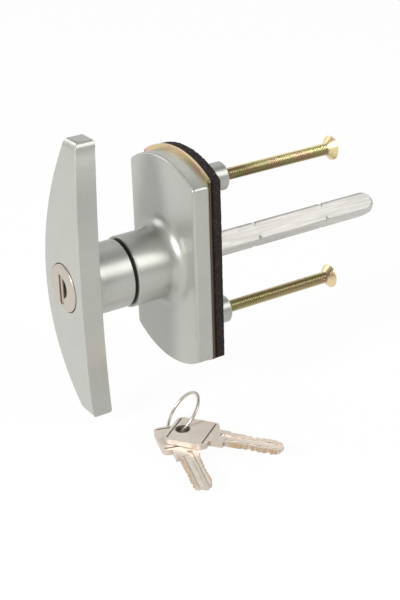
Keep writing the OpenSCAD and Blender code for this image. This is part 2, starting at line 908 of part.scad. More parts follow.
module lower_key()
    key_at(lower_key_hole, lower_key_heading);

// Wire ring with a narrow gap between its ends
module key_ring()
    color(steel)
        translate(key_ring_centre)
            rotate([0, key_ring_lean, key_ring_heading])
                rotate_extrude(angle = 360 - key_ring_gap)
                    translate([key_ring_d / 2, 0])
                        circle(d = key_wire_d);

backplate();
backing_plate();
gasket();
upper_fixing_screw();
lower_fixing_screw();
neck_seal();
thrust_washer();
handle();
spindle();
spindle_pin();
circlip();
lock_barrel();
lock_plug();
face_cap();
plug_clip();
drive_pin();
shutter_spring();
key_shutter();
upper_wafers();
lower_wafers();
upper_wafer_springs();
lower_wafer_springs();
locking_bolt();
key_ring();
upper_key();
lower_key();
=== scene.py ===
"""Models and finishes a locking T handle for a garage door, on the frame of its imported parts."""

import json
import math
from contextlib import contextmanager
from functools import partial

import bmesh
import bpy
from bpy.props import FloatProperty, FloatVectorProperty, IntProperty, PointerProperty
from mathutils import Matrix, Vector


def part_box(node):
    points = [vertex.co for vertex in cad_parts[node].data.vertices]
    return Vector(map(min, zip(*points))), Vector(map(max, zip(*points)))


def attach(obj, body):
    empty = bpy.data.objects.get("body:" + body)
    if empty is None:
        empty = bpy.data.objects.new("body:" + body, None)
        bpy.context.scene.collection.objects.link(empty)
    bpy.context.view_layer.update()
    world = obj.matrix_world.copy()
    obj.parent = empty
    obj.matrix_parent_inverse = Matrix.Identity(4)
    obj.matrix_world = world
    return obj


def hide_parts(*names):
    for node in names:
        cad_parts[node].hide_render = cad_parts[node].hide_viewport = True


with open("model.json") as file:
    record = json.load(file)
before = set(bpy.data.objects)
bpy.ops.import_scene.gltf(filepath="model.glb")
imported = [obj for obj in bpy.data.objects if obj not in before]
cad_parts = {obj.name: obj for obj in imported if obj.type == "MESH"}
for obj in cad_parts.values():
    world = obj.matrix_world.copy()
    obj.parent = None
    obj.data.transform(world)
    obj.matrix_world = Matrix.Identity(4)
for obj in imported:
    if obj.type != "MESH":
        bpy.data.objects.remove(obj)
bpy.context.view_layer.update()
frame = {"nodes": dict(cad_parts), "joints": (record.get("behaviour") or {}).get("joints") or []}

bl_info = {
    "name": "Garage Door T Handle",
    "version": (1, 0, 0),
    "blender": (4, 5, 0),
    "location": "View3D > Sidebar > T Handle",
    "description": "Models and finishes a locking T handle around its packed frame",
    "category": "Object",
}

MM = 0.001
BOX = {name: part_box(name) for name in frame["nodes"]}
LOW = {name: corners[0] for name, corners in BOX.items()}
HIGH = {name: corners[1] for name, corners in BOX.items()}
HINGE_AT = {joint["name"]: Vector(joint.get("pos_m", (0, 0, 0))) for joint in frame["joints"]}

QUARTER = math.pi / 2
EIGHTH = math.pi / 4
# Both ways along an axis
WAYS = (1, -1)
# The turn that stands a flat shape up in the plane of the door
UPRIGHT = (QUARTER, 0, 0)
# The turn that stands the square spindle on a corner
ON_CORNER = (0, EIGHTH, 0)
# A point this close to a plane lies on it
NEAR = 0.01 * MM
# A face looks along an axis if its normal has this share there
FACING = 0.9
# Clearances of a close and a loose fit
FIT = 0.04 * MM
LOOSE = 0.3 * MM
# How far a cutter reaches past the face that it opens
PAST = MM
# Shorter edges are merged
SLIVER = 0.006 * MM
# Bare rim at both ends of the lines across a key's bow
BOW_RIM = 1.2 * MM


def srgb(code):
    """Turns an sRGB hex colour into the linear colour that shaders take."""
    parts = [int(code[i:i + 2], 16) / 255 for i in (0, 2, 4)]
    return [c / 12.92 if c <= 0.04045 else ((c + 0.055) / 1.055) ** 2.4 for c in parts]


def span(node, axis):
    """The size of a CAD node along an axis."""
    return HIGH[node][axis] - LOW[node][axis]


def middle(node, axis):
    """The middle of a CAD node along an axis."""
    return (LOW[node][axis] + HIGH[node][axis]) / 2


def length(name, description, default):
    """A size that a user would change."""
    return FloatProperty(name=name, description=description, default=default, min=0, precision=5,
                         unit="LENGTH")


def colour(name, description, code):
    """A colour that a user would change."""
    return FloatVectorProperty(name=name, description=description, default=srgb(code), size=3, min=0, max=1,
                               subtype="COLOR")


class THandleBarSizes(bpy.types.PropertyGroup):
    mid_width: length("Middle width", "Width of the bar at its middle", span("handle", 0))
    tip_width: length("Tip width", "Width of the bar at its tips", 7.8 * MM)
    bar_length: length("Length", "Length of the bar from tip to tip", span("handle", 2))
    depth: length("Depth", "Depth of the bar from front to back", 8.3 * MM)
    rise: length("Rise", "How far the middle of the bar stands in front of its tips", 6.8 * MM)
    edge: length("Edge rounding", "Rounding of the bar's long edges", 0.18 * MM)
    tip: length("Tip length", "Length over which the bar's tips are rounded", 3.4 * MM)
    tip_side: length("Tip shoulders", "How far the rounding of a tip takes in its sides", 2.3 * MM)
    tip_face: length("Tip faces", "How far the rounding of a tip takes in its front and back", 1.5 * MM)
    shank_diameter: length("Shank diameter", "Diameter of the shank behind the bar", 26.6 * MM)
    flare: length("Flare", "How far the shank widens where it meets the bar", 0.9 * MM)
    flare_length: length("Flare length", "Length over which the shank widens", 3 * MM)
    spigot_diameter: length("Spigot diameter", "Diameter of the spigot that turns in the boss", 19.8 * MM)
    face_gap: length("Face gap", "Gap between the lock's face and the bar", 0.3 * MM)
    rings: IntProperty(name="Rings", description="Cuts along the bar that carry its curves", min=9,
                       default=47)


class THandlePlateSizes(bpy.types.PropertyGroup):
    width: length("Width", "Width of the backplate", span("backplate", 0))
    side: length("Straight side", "Height of the backplate's straight sides", 70.8 * MM)
    height: length("Height", "Height of the backplate over its curved ends", span("backplate", 2))
    depth: length("Depth", "Depth of the backplate's casting", 6.75 * MM)
    wall: length("Wall", "Wall of the hollow casting", 2.5 * MM)
    edge: length("Edge rounding", "Rounding of the front edge", 1.1 * MM)
    corner: length("Corner rounding", "Rounding of the four corners", 1.8 * MM)
    boss_diameter: length("Boss diameter", "Diameter of the boss", 28.1 * MM)
    boss_fillet: length("Boss fillet", "Radius of the fillet between the boss and the plate", 6.6 * MM)
    lug_diameter: length("Lug diameter", "Diameter of a fixing lug behind the gasket", 11.4 * MM)
    lug_spacing: length("Lug spacing", "Distance between the centres of the lugs", 57.15 * MM)
    trim_side: length("Trim at the sides", "How far the gasket stands out past the casting's sides",
                      (span("gasket", 0) - span("backplate", 0)) / 2)
    trim_end: length("Trim at the ends", "How far the gasket stands out past the casting's curved ends",
                     (span("gasket", 2) - span("backplate", 2)) / 2)


class THandleScrewSizes(bpy.types.PropertyGroup):
    thread: length("Thread", "Outer diameter of the thread", 4.92 * MM)
    pitch: length("Pitch", "Distance between two turns of the thread", 0.8 * MM)
    groove: length("Groove", "Depth of the thread", 0.42 * MM)
    head: length("Head", "Diameter of the countersunk head", span("upper_fixing_screw", 0))
    recess: length("Recess", "Span of the cross recess in the head", 5.6 * MM)


class THandleSpindleSizes(bpy.types.PropertyGroup):
    flats: length("Across flats", "Width of the square bar", 8 * MM)
    corner: length("Corner rounding", "Rounding of the bar's long corners", 0.35 * MM)
    end: length("End rounding", "Length over which the bar's free end is rounded", 6.4 * MM)
    end_arc: length("End arc", "Radius of the rounding of the bar's free end", 8 * MM)
    nick: length("Nick depth", "Depth of the snap-off nicks", 0.9 * MM)
    first_nick: length("First nick", "Distance from the door to the first nick", 29.8 * MM)
    nick_pitch: length("Nick spacing", "Distance between the nicks", 33.4 * MM)


class THandleKeySizes(bpy.types.PropertyGroup):
    bow_length: length("Bow length", "Length of a key's bow", 17.5 * MM)
    bow_width: length("Bow width", "Width of a key's bow", 17.2 * MM)
    bow_round: length("Bow rounding", "Rounding of the bow's corners", 2.4 * MM)
    thickness: length("Thickness", "Thickness of a key's bow", span("upper_key", 2))
    blade_length: length("Blade length", "Length of a key's blade past its collar", 22.2 * MM)
    blade_width: length("Blade width", "Width of a key's blade", 7.2 * MM)
    blade_thickness: length("Blade thickness", "Thickness of a key's blade", 2 * MM)
    collar: length("Collar", "Length of the collar between bow and blade", 5.4 * MM)
    hole: length("Hole", "Diameter of the hole in the bow", 5.6 * MM)
    hole_inset: length("Hole inset", "Distance from the bow's end to the hole", 4.9 * MM)
    line: length("Line width", "Width of the lines across the bow", 0.6 * MM)
    line_inset: length("First line", "Distance from the bow's end to its first line", 1.4 * MM)
    line_end: length("Second line", "Distance from the second line to the collar's end of the bow", 1.8 * MM)
    ring_diameter: length("Ring diameter", "Diameter of the key ring at the middle of its wire", 18.6 * MM)
    wire: length("Wire", "Diameter of the key ring's wire", 1.3 * MM)


class THandleColours(bpy.types.PropertyGroup):
    paint: colour("Silver paint", "Paint on the castings", "AFB0A9")
    yellow_zinc: colour("Yellow zinc", "Yellow passivated plating of the screws", "E2D3A6")
    dark_zinc: colour("Dark yellow zinc", "Yellow passivated plating of the backing plate", "E6CDA8")
    bright_zinc: colour("Bright zinc", "Clear zinc plating of the spindle", "CBC9C3")
    foam: colour("Foam", "Foam of the gasket", "221D1C")
    rubber: colour("Rubber", "Rubber of the neck seal", "0F0F0F")
    face: colour("Satin nickel", "Plating of the lock's face", "C6BDB2")
    key: colour("Key nickel", "Plating of the keys", "EEE3D8")
    brass: colour("Brass", "Bare brass in the key's cuts and the wafers", "C9A15C")
    wire: colour("Wire", "Plating of the key ring", "C9C3B9")
    steel: colour("Steel", "Plain steel of clips, pins and springs", "A9A9A8")
    shutter: colour("Nickel silver", "Flap behind the keyhole", "A09484")
    cast: colour("Zinc casting", "Unpainted casting of the lock's barrel and plug", "B3A58F")


# Surfaces

BLEND = {"data_type": "RGBA"}
TINT = {"data_type": "RGBA", "blend_type": "MULTIPLY"}


def shader_node(tree, kind, *values, **named):
    """Adds a node: small names set it up, plain values and large names fill its inputs, nodes are linked."""
    node = tree.nodes.new("ShaderNode" + kind)
    for name, value in named.items():
        if name[0].islower():
            setattr(node, name, value)
    inputs = list(zip((socket for socket in node.inputs if socket.enabled), values))
    inputs += [(node.inputs[name.replace("_", " ")], named[name]) for name in named if name[0].isupper()]
    for socket, value in inputs:
        if isinstance(value, bpy.types.Node):
            value = next(output for output in value.outputs if output.enabled)
        if isinstance(value, bpy.types.NodeSocket):
            tree.links.new(value, socket)
        else:
            socket.default_value = value
    return node


def across(size):
    """The scale of a pattern whose features are about size metres across."""
    return 1 / size


def rgba(base, gain=1.0):
    return (*[min(1.0, c * gain) for c in base], 1.0)


def new_material(name):
    """An empty material, the function that adds its nodes, and the object coordinates of its piece."""
    material = bpy.data.materials.new(name)
    material.use_nodes = True
    material.node_tree.nodes.clear()
    add = partial(shader_node, material.node_tree)
    return material, add, add("TexCoord").outputs["Object"]


def close_material(add, tone, relief, strength, depth, **rest):
    """Ends a surface with its tone, a fine relief and the rest of what it shows."""
    bump = add("Bump", Height=relief, Strength=strength, Distance=depth)
    add("OutputMaterial", Surface=add("BsdfPrincipled", Base_Color=tone, Normal=bump, **rest))


def silver_paint(base):
    """Satin silver-grey stoving paint: an even grey with a fine metallic grain and soft, broad lights."""
    material, add, here = new_material("Silver stoving paint")
    cloud = add("TexNoise", Vector=here, Scale=across(14 * MM), Detail=2.0)
    # Real flakes are about 0.05 mm; they are drawn at 0.3 mm, so that the render still shows a grain.
    flake = add("TexVoronoi", Vector=here, Scale=across(0.3 * MM))
    peel = add("TexNoise", Vector=here, Scale=across(1.1 * MM), Detail=3.0)
    tone = add("Mix", cloud, rgba(base, 0.95), rgba(base, 1.05), **BLEND)
    spark = add("MapRange", flake.outputs["Color"], To_Min=0.94, To_Max=1.06)
    grain = add("Mix", 1.0, tone, spark, **TINT)
    rough = add("MapRange", cloud, To_Min=0.31, To_Max=0.38)
    close_material(add, grain, peel, 0.25, 0.03 * MM, Metallic=0.5, Roughness=rough)
    return material


def band(add, value, centre, half, soft):
    """A mask that is 1 where a value lies within half of a centre, and fades out over soft."""
    off = add("Math", value, centre, operation="SUBTRACT")
    away = add("Math", off, operation="ABSOLUTE")
    return add("MapRange", away, half, half + soft, 1.0, 0.0)


def thread_root_shade(add, here, axis_height, root, crest):
    """Brightness of a screw as painted shade: darkest in the thread's roots, dimmer on its crests, full on
    its head only.
    """
    axes = add("SeparateXYZ", here).outputs
    height = add("Math", axes["Z"], operation="ABSOLUTE")
    above = add("Math", height, axis_height, operation="SUBTRACT")
    arm = add("CombineXYZ", X=axes["X"], Z=above)
    radius = add("VectorMath", arm, operation="LENGTH")
    return add("MapRange", radius, root, crest + 0.35 * MM, 0.42, 1.1)


def shaded_sides(add, here, half_width, front, rear):
    """Brightness of a sheet as painted shade: dark at its sides, and darker on the rear half than on the
    front half.
    """
    axes = add("SeparateXYZ", here).outputs
    side = add("Math", axes["X"], operation="ABSOLUTE")
    mid_depth = (front + rear) / 2
    side_shade = add("MapRange", axes["Y"], mid_depth - 0.1 * MM, mid_depth + 0.1 * MM, 0.16, 0.03)
    return add("MapRange", side, half_width - 1.5 * MM, half_width - 0.2 * MM, 1.0, side_shade)


def yellow_zinc(name, base, painted_shade, *sizes):
    """Yellow passivated zinc plate on steel: gold with drifts of pink and green, and a soft metal gloss."""
    material, add, here = new_material(name)
    drift = add("TexNoise", Vector=here, Scale=across(7 * MM), Detail=2.0)
    fine = add("TexNoise", Vector=here, Scale=across(0.5 * MM), Detail=2.0)
    pink, green = (rgba([c * gain for c, gain in zip(base, gains)])
                   for gains in ((1.02, 0.78, 0.95), (0.86, 1.02, 0.8)))
    shift = add("MapRange", drift, 0.35, 0.65)
    hue = add("Mix", shift, pink, green, **BLEND)
    tone = add("Mix", 0.6, rgba(base), hue, **BLEND)
    # The pattern that is passed in paints shade into the tone.
    tone = add("Mix", 1.0, tone, painted_shade(add, here, *sizes), **TINT)
    rough = add("MapRange", fine, To_Min=0.28, To_Max=0.48)
    close_material(add, tone, fine, 0.15, 0.02 * MM, Metallic=1.0, Roughness=rough)
    return material


def bright_zinc(name, base):
    """Clear zinc plate on cold-drawn steel: near white, with grey lines along the bar and painted shade
    along its upper corner.
    """
    material, add, here = new_material(name)
    # Drawing lines are hair-fine; they are drawn 0.5 mm apart and 30 times as long, so that they show.
    stretch = add("Mapping", Vector=here, Scale=(1.0, 1 / 30, 1.0))
    lines = add("TexNoise", Vector=stretch, Scale=across(0.5 * MM), Detail=3.0)
    mottle = add("TexNoise", Vector=here, Scale=across(2.5 * MM), Detail=3.0)
    streak = add("MapRange", lines, 0.35, 0.6)
    tone = add("Mix", streak, rgba(base, 0.84), rgba(base, 1.06), **BLEND)
    # Painted shade: the last 0.3 mm of the upper corner is a thin grey line against the bright flats.
    height = add("SeparateXYZ", here).outputs["Z"]
    corner = add("MapRange", height, 4.85 * MM, 5.1 * MM, 1.0, 0.65)
    tone = add("Mix", 1.0, tone, corner, **TINT)
    rough = add("MapRange", mottle, To_Min=0.34, To_Max=0.54)
    close_material(add, tone, lines, 0.3, 0.03 * MM, Metallic=0.85, Roughness=rough)
    return material


def cell_foam(base):
    """Closed-cell foam cut from sheet: matt brown-black, with small open cells on its cut edges."""
    material, add, here = new_material("Closed-cell foam")
    cells = add("TexVoronoi", Vector=here, Scale=across(0.6 * MM))
    dust = add("TexNoise", Vector=here, Scale=across(3 * MM), Detail=4.0)
    tone = add("Mix", dust, rgba(base, 0.55), rgba(base, 1.7), **BLEND)
    # Torn cell walls and dust are pale specks of about 0.4 mm.
    speck = add("TexNoise", Vector=here, Scale=across(0.4 * MM), Detail=1.0)
    pale = add("MapRange", speck, 0.62, 0.72, To_Max=0.6)
    tone = add("Mix", pale, tone, rgba(base, 14), **BLEND)
    close_material(add, tone, cells, 0.7, 0.2 * MM, Roughness=0.92, Specular_IOR_Level=0.25)
    return material


def seal_rubber(base):
    """Moulded rubber: nearly black, with a dull sheen and a faint dusty bloom."""
    material, add, here = new_material("Moulded rubber")
    bloom = add("TexNoise", Vector=here, Scale=across(1.5 * MM), Detail=3.0)
    tone = add("Mix", bloom, rgba(base, 0.7), rgba(base, 1.5), **BLEND)
    close_material(add, tone, bloom, 0.2, 0.05 * MM, Roughness=0.7, Specular_IOR_Level=0.3)
    return material


def satin_nickel(base):
    """Satin nickel plate on a pressed cap: warm pale metal with a fine upright brushing."""
    material, add, here = new_material("Satin nickel plate")
    # Brushing is about 0.05 mm; it is drawn at 0.25 mm and 20 times as long along Z, so that it shows.
    stretch = add("Mapping", Vector=here, Scale=(1.0, 1.0, 1 / 20))
    brush = add("TexNoise", Vector=stretch, Scale=across(0.25 * MM), Detail=3.0)
    cloud = add("TexNoise", Vector=here, Scale=across(4 * MM), Detail=2.0)
    tone = add("Mix", cloud, rgba(base, 0.93), rgba(base, 1.04), **BLEND)
    rough = add("MapRange", brush, To_Min=0.3, To_Max=0.46)
    close_material(add, tone, brush, 0.25, 0.02 * MM, Metallic=0.9, Roughness=rough)
    return material


def key_painted_shade(add, axes, past_collar, sizes):
    """Painted shade in the lines across a key's bow, in its hole and in its grooves, which change sides
    below.
    """
    soft = 0.1 * MM
    first, second = (band(add, axes["X"], at - sizes.hole_inset, sizes.line / 2, soft)
                     for at in (sizes.line_inset, sizes.bow_length - sizes.line_end))
    inside = band(add, axes["Y"], 0.0, sizes.bow_width / 2 - BOW_RIM, soft)
    lines = add("Math", first, second, operation="MAXIMUM")
    lines = add("Math", lines, inside, operation="MULTIPLY")
    face = add("Math", axes["Z"], operation="SIGN")
    upper = add("Math", axes["Y"], face, operation="MULTIPLY")
    wide = band(add, upper, 1.7 * MM, 0.1 * MM, soft)
    narrow = band(add, upper, -2.05 * MM, 0.2 * MM, 0.15 * MM)
    grooves = add("Math", wide, narrow, operation="MAXIMUM")
    for share in (past_collar, 0.45):
        grooves = add("Math", grooves, share, operation="MULTIPLY")
    flat = add("CombineXYZ", X=axes["X"], Y=axes["Y"])
    from_hole = add("VectorMath", flat, operation="LENGTH")
    hole_shade = band(add, from_hole, 0.0, sizes.hole / 2, 0.4 * MM)
    shade_mask = add("Math", lines, grooves, operation="MAXIMUM")
    return add("Math", shade_mask, hole_shade, operation="MAXIMUM")


def key_nickel(name, base, brass, hole, heading, sizes):
    """Nickel plate on stamped brass: warm white and scuffed, with bare brass where the blade is cut."""
    material, add, here = new_material(name)
    along = add("Mapping", Vector=here, Location=hole, Rotation=(0, 0, heading), vector_type="TEXTURE")
    axes = add("SeparateXYZ", along).outputs
    side = add("Math", axes["Y"], operation="ABSOLUTE")
    collar_end = sizes.bow_length - sizes.hole_inset + sizes.collar
    past_collar = add("MapRange", axes["X"], collar_end, collar_end + 2 * MM)
    near_edge = add("MapRange", side, sizes.blade_width * 0.34, sizes.blade_width * 0.44)
    scuff = add("TexNoise", Vector=here, Scale=across(0.7 * MM), Detail=4.0)
    cloud = add("TexNoise", Vector=here, Scale=across(4 * MM), Detail=2.0)
    bare = add("Math", past_collar, near_edge, operation="MULTIPLY")
    worn = add("Math", bare, cloud, operation="MULTIPLY")
    plate = add("Mix", cloud, rgba(base, 0.88), rgba(base, 1.06), **BLEND)
    tone = add("Mix", worn, plate, rgba(brass), **BLEND)
    # Painted shade darkens the bow's lines, the hole and the grooves.
    tone = add("Mix", key_painted_shade(add, axes, past_collar, sizes), tone, rgba(base, 0.42), **BLEND)
    # Painted shade: the sides are darker than the flat faces.
    facing = add("SeparateXYZ", add("NewGeometry").outputs["Normal"]).outputs["Z"]
    tone = add("Mix", band(add, facing, 0.0, 0.3, 0.4), tone, (0.72, 0.7, 0.68, 1.0), **TINT)
    rough = add("MapRange", scuff, To_Min=0.26, To_Max=0.52)
    close_material(add, tone, scuff, 0.25, 0.03 * MM, Metallic=0.52, Roughness=rough)
    return material


def plain_metal(name, base, metallic, rough_low, rough_high, grain):
    """Unplated or plainly plated metal: an even tone whose gloss wanders with its grain."""
    material, add, here = new_material(name)
    noise = add("TexNoise", Vector=here, Scale=across(grain), Detail=3.0)
    tone = add("Mix", noise, rgba(base, 0.88), rgba(base, 1.08), **BLEND)
    rough = add("MapRange", noise, To_Min=rough_low, To_Max=rough_high)
    close_material(add, tone, noise, 0.15, 0.02 * MM, Metallic=metallic, Roughness=rough)
    return material


# Modelling


def deselect_all():
    bpy.ops.object.select_all(action="DESELECT")


def activate(piece):
    deselect_all()
    piece.select_set(True)
    bpy.context.view_layer.objects.active = piece


@contextmanager
def editing(piece):
    """Opens the mesh of a piece."""
    activate(piece)
    bpy.ops.object.mode_set(mode="EDIT")
    yield
    bpy.ops.object.mode_set(mode="OBJECT")


def apply_place():
    bpy.ops.object.transform_apply(location=True, rotation=True, scale=True)


def keep_new(name):
    """Names the primitive that was just added and puts its place into its mesh."""
    piece = bpy.context.object
    piece.name = piece.data.name = name
    apply_place()
    return piece


def settle(piece, location=(0, 0, 0), rotation=(0, 0, 0)):
    """Turns and moves a piece, and puts its place into its mesh."""
    activate(piece)
    piece.rotation_euler = rotation
    piece.location = location
    apply_place()
    return piece


def twin(piece):
    """A copy of a piece with a mesh of its own."""
    activate(piece)
    bpy.ops.object.duplicate(linked=False)
    return bpy.context.object


def pick(piece, kind, test):
    """In an open mesh, selects the vertices, edges or faces that pass a test, and nothing else."""
    bpy.ops.mesh.select_mode(type={"verts": "VERT", "edges": "EDGE", "faces": "FACE"}[kind])
    bpy.ops.mesh.select_all(action="DESELECT")
    mesh = bmesh.from_edit_mesh(piece.data)
    for element in getattr(mesh, kind):
        if test(element):
            element.select_set(True)
    mesh.select_flush_mode()
    bmesh.update_edit_mesh(piece.data)


def pick_all():
    bpy.ops.mesh.select_all(action="SELECT")


def is_sharp(edge, degrees):
    return len(edge.link_faces) == 2 and edge.calc_face_angle() > math.radians(degrees)


def climb(edge):
    """How far an edge runs along Z."""
    return abs(edge.verts[0].co.z - edge.verts[1].co.z)


def bevel(width, segments):
    """In an open mesh, rounds the selected edges."""
    bpy.ops.mesh.bevel(offset=width, offset_type="OFFSET", segments=segments, profile=0.5, affect="EDGES")


def draw_out(move, grow, centre):
    """In an open mesh, extrudes the selected faces and scales their new ends about a centre."""
    bpy.ops.mesh.extrude_region_move(TRANSFORM_OT_translate={"value": move})
    bpy.ops.transform.resize(value=grow, center_override=centre)


def close_holes():
    """In an open mesh, fills every open rim with a face."""
    bpy.ops.mesh.select_mode(type="EDGE")
    bpy.ops.mesh.select_all(action="DESELECT")
    bpy.ops.mesh.select_non_manifold(extend=False)
    bpy.ops.mesh.fill_holes(sides=0)


def modify(piece, kind, **settings):
    """Adds a modifier and applies it."""
    activate(piece)
    bpy.ops.object.modifier_add(type=kind)
    modifier = piece.modifiers[-1]
    for name, value in settings.items():
        setattr(modifier, name, value)
    bpy.ops.object.modifier_apply(modifier=modifier.name)


def combine(operation, piece, *tools):
    """Joins tools to a piece, cuts them from it, or keeps what it shares with them."""
    for tool in tools:
        modify(piece, "BOOLEAN", object=tool, operation=operation, solver="EXACT")
        bpy.data.objects.remove(tool, do_unlink=True)


join = partial(combine, "UNION")
cut = partial(combine, "DIFFERENCE")
keep_shared = partial(combine, "INTERSECT")


def turned(name, profile, segments=96, z=0.0):
    """A solid turned about Y: a disc that is extruded and scaled through [radius, y] steps."""
    deselect_all()
    radius, y = profile[0]
    bpy.ops.mesh.primitive_circle_add(vertices=segments, radius=radius, fill_type="NGON", location=(0, y, z),
                                      rotation=UPRIGHT)
    piece = keep_new(name)
    with editing(piece):
        bpy.ops.mesh.select_mode(type="FACE")
        pick_all()
        for next_radius, next_y in profile[1:]:
            grow = next_radius / radius
            draw_out((0, next_y - y, 0), (grow, 1, grow), (0, next_y, z))
            radius, y = next_radius, next_y
        pick_all()
        bpy.ops.mesh.normals_make_consistent(inside=False)
    return piece


def drill(name, radius, front, rear, segments=96, z=0.0):
    """A plain round cutter along Y."""
    return turned(name, [(radius, front), (radius, rear)], segments, z)


def box(name, low, high):
    """A box between two corners, as a start or a cutter."""
    deselect_all()
    low, high = Vector(low), Vector(high)
    bpy.ops.mesh.primitive_cube_add(size=1, location=(low + high) / 2)
    bpy.context.object.scale = high - low
    return keep_new(name)


def rounding(corner_radius, corner_y, radius, start, end, steps):
    """Profile steps of a rounding about a centre, between two angles in degrees from the radius axis."""
    angles = [math.radians(start + (end - start) * i / steps) for i in range(steps + 1)]
    return [(corner_radius + radius * math.cos(a), corner_y + radius * math.sin(a)) for a in angles]


def soften(piece, width, degrees):
    """Rounds every edge that is sharper than an angle."""
    modify(piece, "BEVEL", width=width, segments=2, limit_method="ANGLE", angle_limit=math.radians(degrees))


def shade(piece, degrees=35):
    """Merges the slivers that cutting leaves, then shades smoothly, with breaks at sharp edges."""
    with editing(piece):
        pick_all()
        bpy.ops.mesh.remove_doubles(threshold=SLIVER)
        bpy.ops.mesh.dissolve_degenerate(threshold=SLIVER)
        pick(piece, "verts", lambda v: len(v.link_edges) == 2)
        bpy.ops.mesh.dissolve_verts()
        close_holes()
        pick_all()
        bpy.ops.mesh.dissolve_degenerate(threshold=SLIVER)
    bpy.ops.object.shade_smooth_by_angle(angle=math.radians(degrees))
    modify(piece, "WEIGHTED_NORMAL", keep_sharp=True, weight=100)


def dress(piece, material):
    """Gives a piece its one material."""
    piece.data.materials.clear()
    piece.data.materials.append(material)


def place(piece, material, body, *nodes):
    """Gives a finished piece its material, its body and the CAD nodes that it stands for."""
    dress(piece, material)
    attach(piece, body)
    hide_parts(*nodes)


def arc_radius(half_chord, rise):
    return (half_chord ** 2 + rise ** 2) / (2 * rise)


def sag(radius, distance):
    return radius - math.sqrt(radius ** 2 - distance ** 2)


def cross_hole():
    """The cutter of the hole for the spindle's pin, square to a flat of the spindle."""
    reach = 12 * MM
    hole = drill("cross_hole", span("spindle_pin", 1) / 2 + FIT, -reach, reach, 32)
    return settle(hole, (0, middle("spindle_pin", 1), 0), (QUARTER, EIGHTH, 0))


class THANDLE_OT_handle(bpy.types.Operator):
    """Models the cast T bar with its shank and spigot"""

    bl_idname = "thandle.handle"
    bl_label = "Handle Casting"

    def execute(self, context):
        sizes = context.scene.t_handle_bar
        front = LOW["handle"].y
        bar = self.make_bar(sizes, front)
        join(bar, self.make_shank(sizes, front))
        cut(bar, self.lock_bore(sizes, front), *self.spigot_cutters(context.scene), cross_hole())
        shade(bar, 40)
        place(bar, silver_paint(context.scene.t_handle_colours.paint), "handle", "handle")
        return {"FINISHED"}

    def make_bar(self, sizes, front):
        """A long box, cut into rings that are narrowed and set back along two arcs, with rounded tips."""
        half, half_width = sizes.bar_length / 2, sizes.mid_width / 2
        reach = half - sizes.tip
        bar = box("handle_casting", (-half_width, front, -reach), (half_width, front + sizes.depth, reach))
        side_arc = arc_radius(half, half_width - sizes.tip_width / 2)
        arch = arc_radius(half, sizes.rise)
        with editing(bar):
            pick(bar, "edges", lambda e: climb(e) > half)
            bpy.ops.mesh.subdivide(number_cuts=sizes.rings)
            for i in range(sizes.rings + 2):
                z = reach * (2 * i / (sizes.rings + 1) - 1)
                pick(bar, "verts", lambda v: abs(v.co.z - z) < NEAR)
                narrow = 1 - sag(side_arc, z) / half_width
                bpy.ops.transform.resize(value=(narrow, 1, 1), center_override=(0, front, z))
                bpy.ops.transform.translate(value=(0, sag(arch, z), 0))
            for way in WAYS:
                self.round_tip(bar, sizes, way, half_width - sag(side_arc, reach), front, arch)
            pick(bar, "edges", lambda e: is_sharp(e, 60))
            bevel(sizes.edge, 6)
        return bar

    def round_tip(self, bar, sizes, way, half_width, front, arch):
        """Extrudes an end of the bar in steps that follow the arch and shrink along a quarter ellipse."""
        pick(bar, "faces", lambda f: f.normal.z * way > FACING)
        z = sizes.bar_length / 2 - sizes.tip
        takes = ((half_width, sizes.tip_side), (sizes.depth / 2, sizes.tip_face))
        steps = 8
        for i in range(steps):
            before, after = (math.radians(90 * k / steps) for k in (i, i + 1))
            rise = sizes.tip * (math.sin(after) - math.sin(before))
            back = sag(arch, z + rise) - sag(arch, z)
            z += rise
            shrink = [(size - take * (1 - math.cos(after))) / (size - take * (1 - math.cos(before)))
                      for size, take in takes]
            centre = (0, front + sag(arch, z) + sizes.depth / 2, way * z)
            draw_out((0, back, way * rise), (*shrink, 1), centre)

    def make_shank(self, sizes, front):
        """The turned shank, its flare to the bar and the spigot with the circlip's groove."""
        radius, flare, spigot = sizes.shank_diameter / 2, sizes.flare, sizes.spigot_diameter / 2
        back, shoulder = front + sizes.depth, LOW["neck_seal"].y - 0.1 * MM
        rim, groove = 0.4 * MM, spigot - 0.9 * MM
        low, high = LOW["circlip"].y, HIGH["circlip"].y
        profile = [(radius + flare, front + sizes.depth / 2)]
        profile += [(r, back + (y - back) * sizes.flare_length / flare)
                    for r, y in rounding(radius + flare, back + flare, flare, 270, 180, 8)]
        profile += rounding(radius - rim, shoulder - rim, rim, 0, 90, 4)
        profile += [(spigot, shoulder), (spigot, low), (groove, low), (groove, high), (spigot, high),
                    (spigot, HIGH["handle"].y)]
        return turned("shank", profile)

    def lock_bore(self, sizes, front):
        """The stepped bore for the lock's face, barrel and drive pin."""
        face, barrel = span("face_cap", 0) / 2 + sizes.face_gap, span("lock_barrel", 0) / 2 + FIT
        drive, rim = 3.2 * MM, 0.25 * MM
        seat, floor = LOW["lock_barrel"].y, HIGH["lock_plug"].y + LOOSE
        sink = sag(arc_radius(sizes.bar_length / 2, sizes.rise), face)
        return turned("lock_bore", [
            (face + 6 * rim, front - 5 * rim), (face, front + rim + sink / 2), (face, seat), (barrel, seat),
            (barrel, floor), (drive, floor), (drive, LOW["locking_bolt"].y)])

    def spigot_cutters(self, scene):
        """The bolt's slot and the square socket of the spindle."""
        gap = 0.15 * MM
        low, high = LOW["locking_bolt"], HIGH["locking_bolt"]
        yield box("bolt_slot", (low.x - 2 * gap, low.y - gap, low.z - gap),
                  (scene.t_handle_bar.spigot_diameter, high.y + gap, high.z + gap))
        half = scene.t_handle_spindle.flats / 2 + FIT
        low, high = LOW["spindle"].y - 0.1 * MM, HIGH["handle"].y + PAST
        yield settle(box("socket", (-half, low, -half), (half, high, half)), rotation=ON_CORNER)


